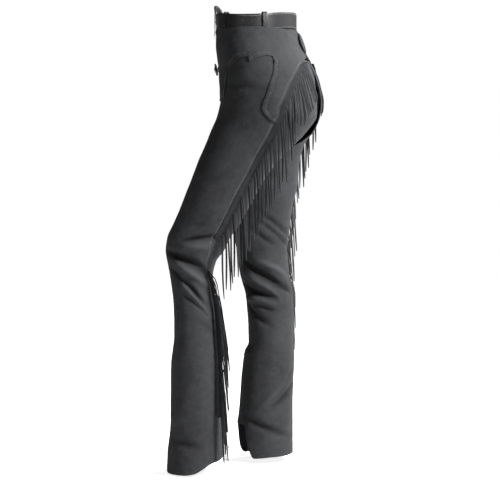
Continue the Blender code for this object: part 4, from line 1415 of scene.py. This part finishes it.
def build_concho():
    """Domed silver button with a beaded border."""
    item, radius, turn = ringed_disc("concho_dome", CONCHO_RINGS, 128)
    points = corner_points(item)
    beads = np.clip((radius - 0.0124) / 0.0012, 0, 1)
    points[:, 2] += 0.0005 * beads * np.cos(turn * CONCHO_BEADS)
    move_corners(item, points)
    store(item, "hollow", bell(radius, 0.0088, 0.0007))
    thicken(item, 0.0012, even=False)
    put_at(item, CONCHO_PLACE, math.pi / 2 + CONCHO_TILT)
    smooth(item, 40)
    return item


KNOT_HALF_SIZE = np.array([0.0075, 0.00475, 0.0100])
KNOT_BEHIND_CONCHO = 0.00725


def build_knot():
    """Knotted lace behind the concho: a rounded wrap with three turns."""
    deselect_all()
    bpy.ops.mesh.primitive_cube_add(size=1)
    item = bpy.context.object
    rename(item, "lace_knot_wrap")
    apply_modifier(item, "SUBSURF", levels=4, render_levels=4)
    points = corner_points(item)
    points /= np.abs(points).max(axis=0)
    turns = np.abs(np.sin(points[:, 2] * math.pi * 1.5))
    points[:, :2] *= (0.82 + 0.18 * turns ** 0.6)[:, None]
    move_corners(item, points * KNOT_HALF_SIZE)
    # Stored rise: the troughs between the turns get painted shade and the turns a painted highlight
    store(item, "rise", (turns - 0.6) * 0.004)
    store(item, "edge", turns * 0.0)
    put_at(item, CONCHO_PLACE + Vector((0, KNOT_BEHIND_CONCHO, 0)), CONCHO_TILT)
    smooth(item, 60)
    return item


ROSETTE_RADIUS = 0.024
ROSETTE_SCALLOPS = 16
ROSETTE_THICKNESS = 0.0028
ROSETTE_RINGS = ((1.0, 0.0011), (0.95, 0.0014), (0.85, 0.0014), (0.80, 0.0010), (0.76, 0.0010),
                 (0.70, 0.0014), (0.50, 0.0014), (0.25, 0.0014))


def build_rosette():
    """Scalloped leather disc with a tooled ring."""
    item, scale, turn = ringed_disc("rosette_disc", ROSETTE_RINGS, ROSETTE_SCALLOPS * 8)
    points = corner_points(item)
    edge = 0.955 + 0.045 * np.abs(np.cos(ROSETTE_SCALLOPS * turn / 2))
    reach = ROSETTE_RADIUS * (1 + (edge - 1) * np.clip((scale - 0.6) / 0.4, 0, 1))
    points[:, :2] *= reach[:, None]
    move_corners(item, points)
    # Stored rise: painted shade in the recessed tooled ring; stored edge: paler rim, partly wear and partly
    # a painted highlight
    store(item, "rise", -0.006 * bell(scale, 0.78, 0.05))
    store(item, "edge", np.clip((scale - 0.9) * 10, 0, 1))
    thicken(item, ROSETTE_THICKNESS, even=False)
    put_at(item, ROSETTE_PLACE, -math.pi / 2 + ROSETTE_TILT)
    smooth(item, 40)
    return item


class CHAPS_OT_hardware(bpy.types.Operator):
    """Model the buckle, the concho with its lace knot, and the rosette"""

    bl_idname = "chaps.hardware"
    bl_label = "Buckle, Concho and Rosette"

    def execute(self, context):
        settings = context.scene.chaps_silver
        fringe = context.scene.chaps_fringe
        silver = material_named("polished silver", polished_silver, settings.colour)
        lace = material_named("fringe leather", nappy_leather, fringe.colour)
        put_on(build_plate(settings), "buckle", silver)
        put_on(build_rope(settings), None, silver)
        put_on(build_concho(), "concho_front", silver)
        put_on(build_knot(), "lace_knot", lace)
        put_on(build_rosette(), "rosette_back", lace)
        return {"FINISHED"}


# Stage

VIEW_AZIMUTH = math.radians(100)
VIEW_DISTANCE = 4.4
VIEW_CENTRE = Vector((0.00304, -0.01723, -0.530))
CAMERA_HEIGHT = -0.297
LENS = 135.9
FLOOR_GLOW = 0.86
STUDIO_GLOW = 1.0
STUDIO_FILL = 0.07
LAMPS = (
    Lamp("key softbox", (1.15, 2.7, 1.7), (0.0, 0.0, -0.40), 0.9, 500.0),
    Lamp("fill softbox", (2.6, -1.6, 0.1), (0.0, 0.0, -0.6), 2.0, 7.0),
    Lamp("rim softbox", (-2.4, 1.8, 1.4), (0.0, 0.0, -0.4), 1.2, 110.0),
)


class CHAPS_OT_stage(bpy.types.Operator):
    """Set the camera, the soft studio light and the pale floor"""

    bl_idname = "chaps.stage"
    bl_label = "Stage"

    def execute(self, context):
        camera = bpy.data.cameras.new("camera")
        camera.lens = LENS
        camera.sensor_width = 36.0
        item = bpy.data.objects.new("camera", camera)
        back = Vector((math.sin(VIEW_AZIMUTH), -math.cos(VIEW_AZIMUTH), 0))
        item.location = VIEW_CENTRE + back * VIEW_DISTANCE
        item.location.z = CAMERA_HEIGHT
        item.rotation_euler = (VIEW_CENTRE - item.location).to_track_quat("-Z", "Y").to_euler()
        context.scene.collection.objects.link(item)
        context.scene.camera = item
        for lamp in LAMPS:
            light = bpy.data.lights.new(lamp.name, "AREA")
            light.shape = "DISK"
            light.size = lamp.size
            light.energy = lamp.watts
            source = bpy.data.objects.new(lamp.name, light)
            source.location = lamp.place
            source.rotation_euler = (Vector(lamp.aim) - source.location).to_track_quat("-Z", "Y").to_euler()
            context.scene.collection.objects.link(source)
        deselect_all()
        bpy.ops.mesh.primitive_plane_add(size=14, location=(0, 0, FLOOR_HEIGHT))
        floor = bpy.context.object
        floor.name = "floor"
        finish = Finish("pale floor")
        pale = finish.shades(finish.noise(finish.position(), 3.0), (1, 1, 1), 0.86, 0.90)
        floor.data.materials.append(finish.surface({"Base Color": pale}, {
            "Roughness": 0.9, "Emission Color": (1, 1, 1, 1), "Emission Strength": FLOOR_GLOW}))
        lit = bpy.data.collections.new("lit by the floor")
        lit.objects.link(floor)
        floor.light_linking.receiver_collection = lit
        world = bpy.data.worlds.new("studio")
        world.use_nodes = True
        tree = world.node_tree
        tree.nodes.clear()
        paths = tree.nodes.new("ShaderNodeLightPath")
        mix = tree.nodes.new("ShaderNodeMixShader")
        for socket, strength in ((1, STUDIO_FILL), (2, STUDIO_GLOW)):
            light = tree.nodes.new("ShaderNodeBackground")
            light.inputs["Color"].default_value = (1, 1, 1, 1)
            light.inputs["Strength"].default_value = strength
            tree.links.new(light.outputs[0], mix.inputs[socket])
        output = tree.nodes.new("ShaderNodeOutputWorld")
        tree.links.new(paths.outputs["Is Camera Ray"], mix.inputs[0])
        tree.links.new(mix.outputs[0], output.inputs["Surface"])
        context.scene.world = world
        context.scene.view_settings.view_transform = "Standard"
        return {"FINISHED"}


OPERATORS = (CHAPS_OT_stage, CHAPS_OT_leg_panels, CHAPS_OT_yokes, CHAPS_OT_stitching, CHAPS_OT_fringe,
             CHAPS_OT_belt, CHAPS_OT_hardware)


class CHAPS_PT_panel(bpy.types.Panel):
    """Sizes, colours and steps of the chaps"""

    bl_label = "Leather Chaps"
    bl_idname = "CHAPS_PT_panel"
    bl_space_type = "VIEW_3D"
    bl_region_type = "UI"
    bl_category = "Chaps"

    def draw(self, context):
        for name, group in SETTINGS.items():
            box = self.layout.box()
            settings = getattr(context.scene, name)
            for setting in group.__annotations__:
                box.prop(settings, setting)
        for operator in OPERATORS:
            self.layout.operator(operator.bl_idname)


def register():
    for group in SETTINGS.values():
        bpy.utils.register_class(group)
    for operator in OPERATORS:
        bpy.utils.register_class(operator)
    bpy.utils.register_class(CHAPS_PT_panel)
    for name, group in SETTINGS.items():
        setattr(bpy.types.Scene, name, bpy.props.PointerProperty(type=group))


def unregister():
    for name in SETTINGS:
        delattr(bpy.types.Scene, name)
    bpy.utils.unregister_class(CHAPS_PT_panel)
    for operator in reversed(OPERATORS):
        bpy.utils.unregister_class(operator)
    for group in SETTINGS.values():
        bpy.utils.unregister_class(group)


def main():
    register()
    bpy.ops.chaps.stage()
    bpy.ops.chaps.leg_panels()
    bpy.ops.chaps.yokes()
    bpy.ops.chaps.stitching()
    bpy.ops.chaps.fringe()
    bpy.ops.chaps.belt()
    bpy.ops.chaps.hardware()


if __name__ == "__main__":
    main()
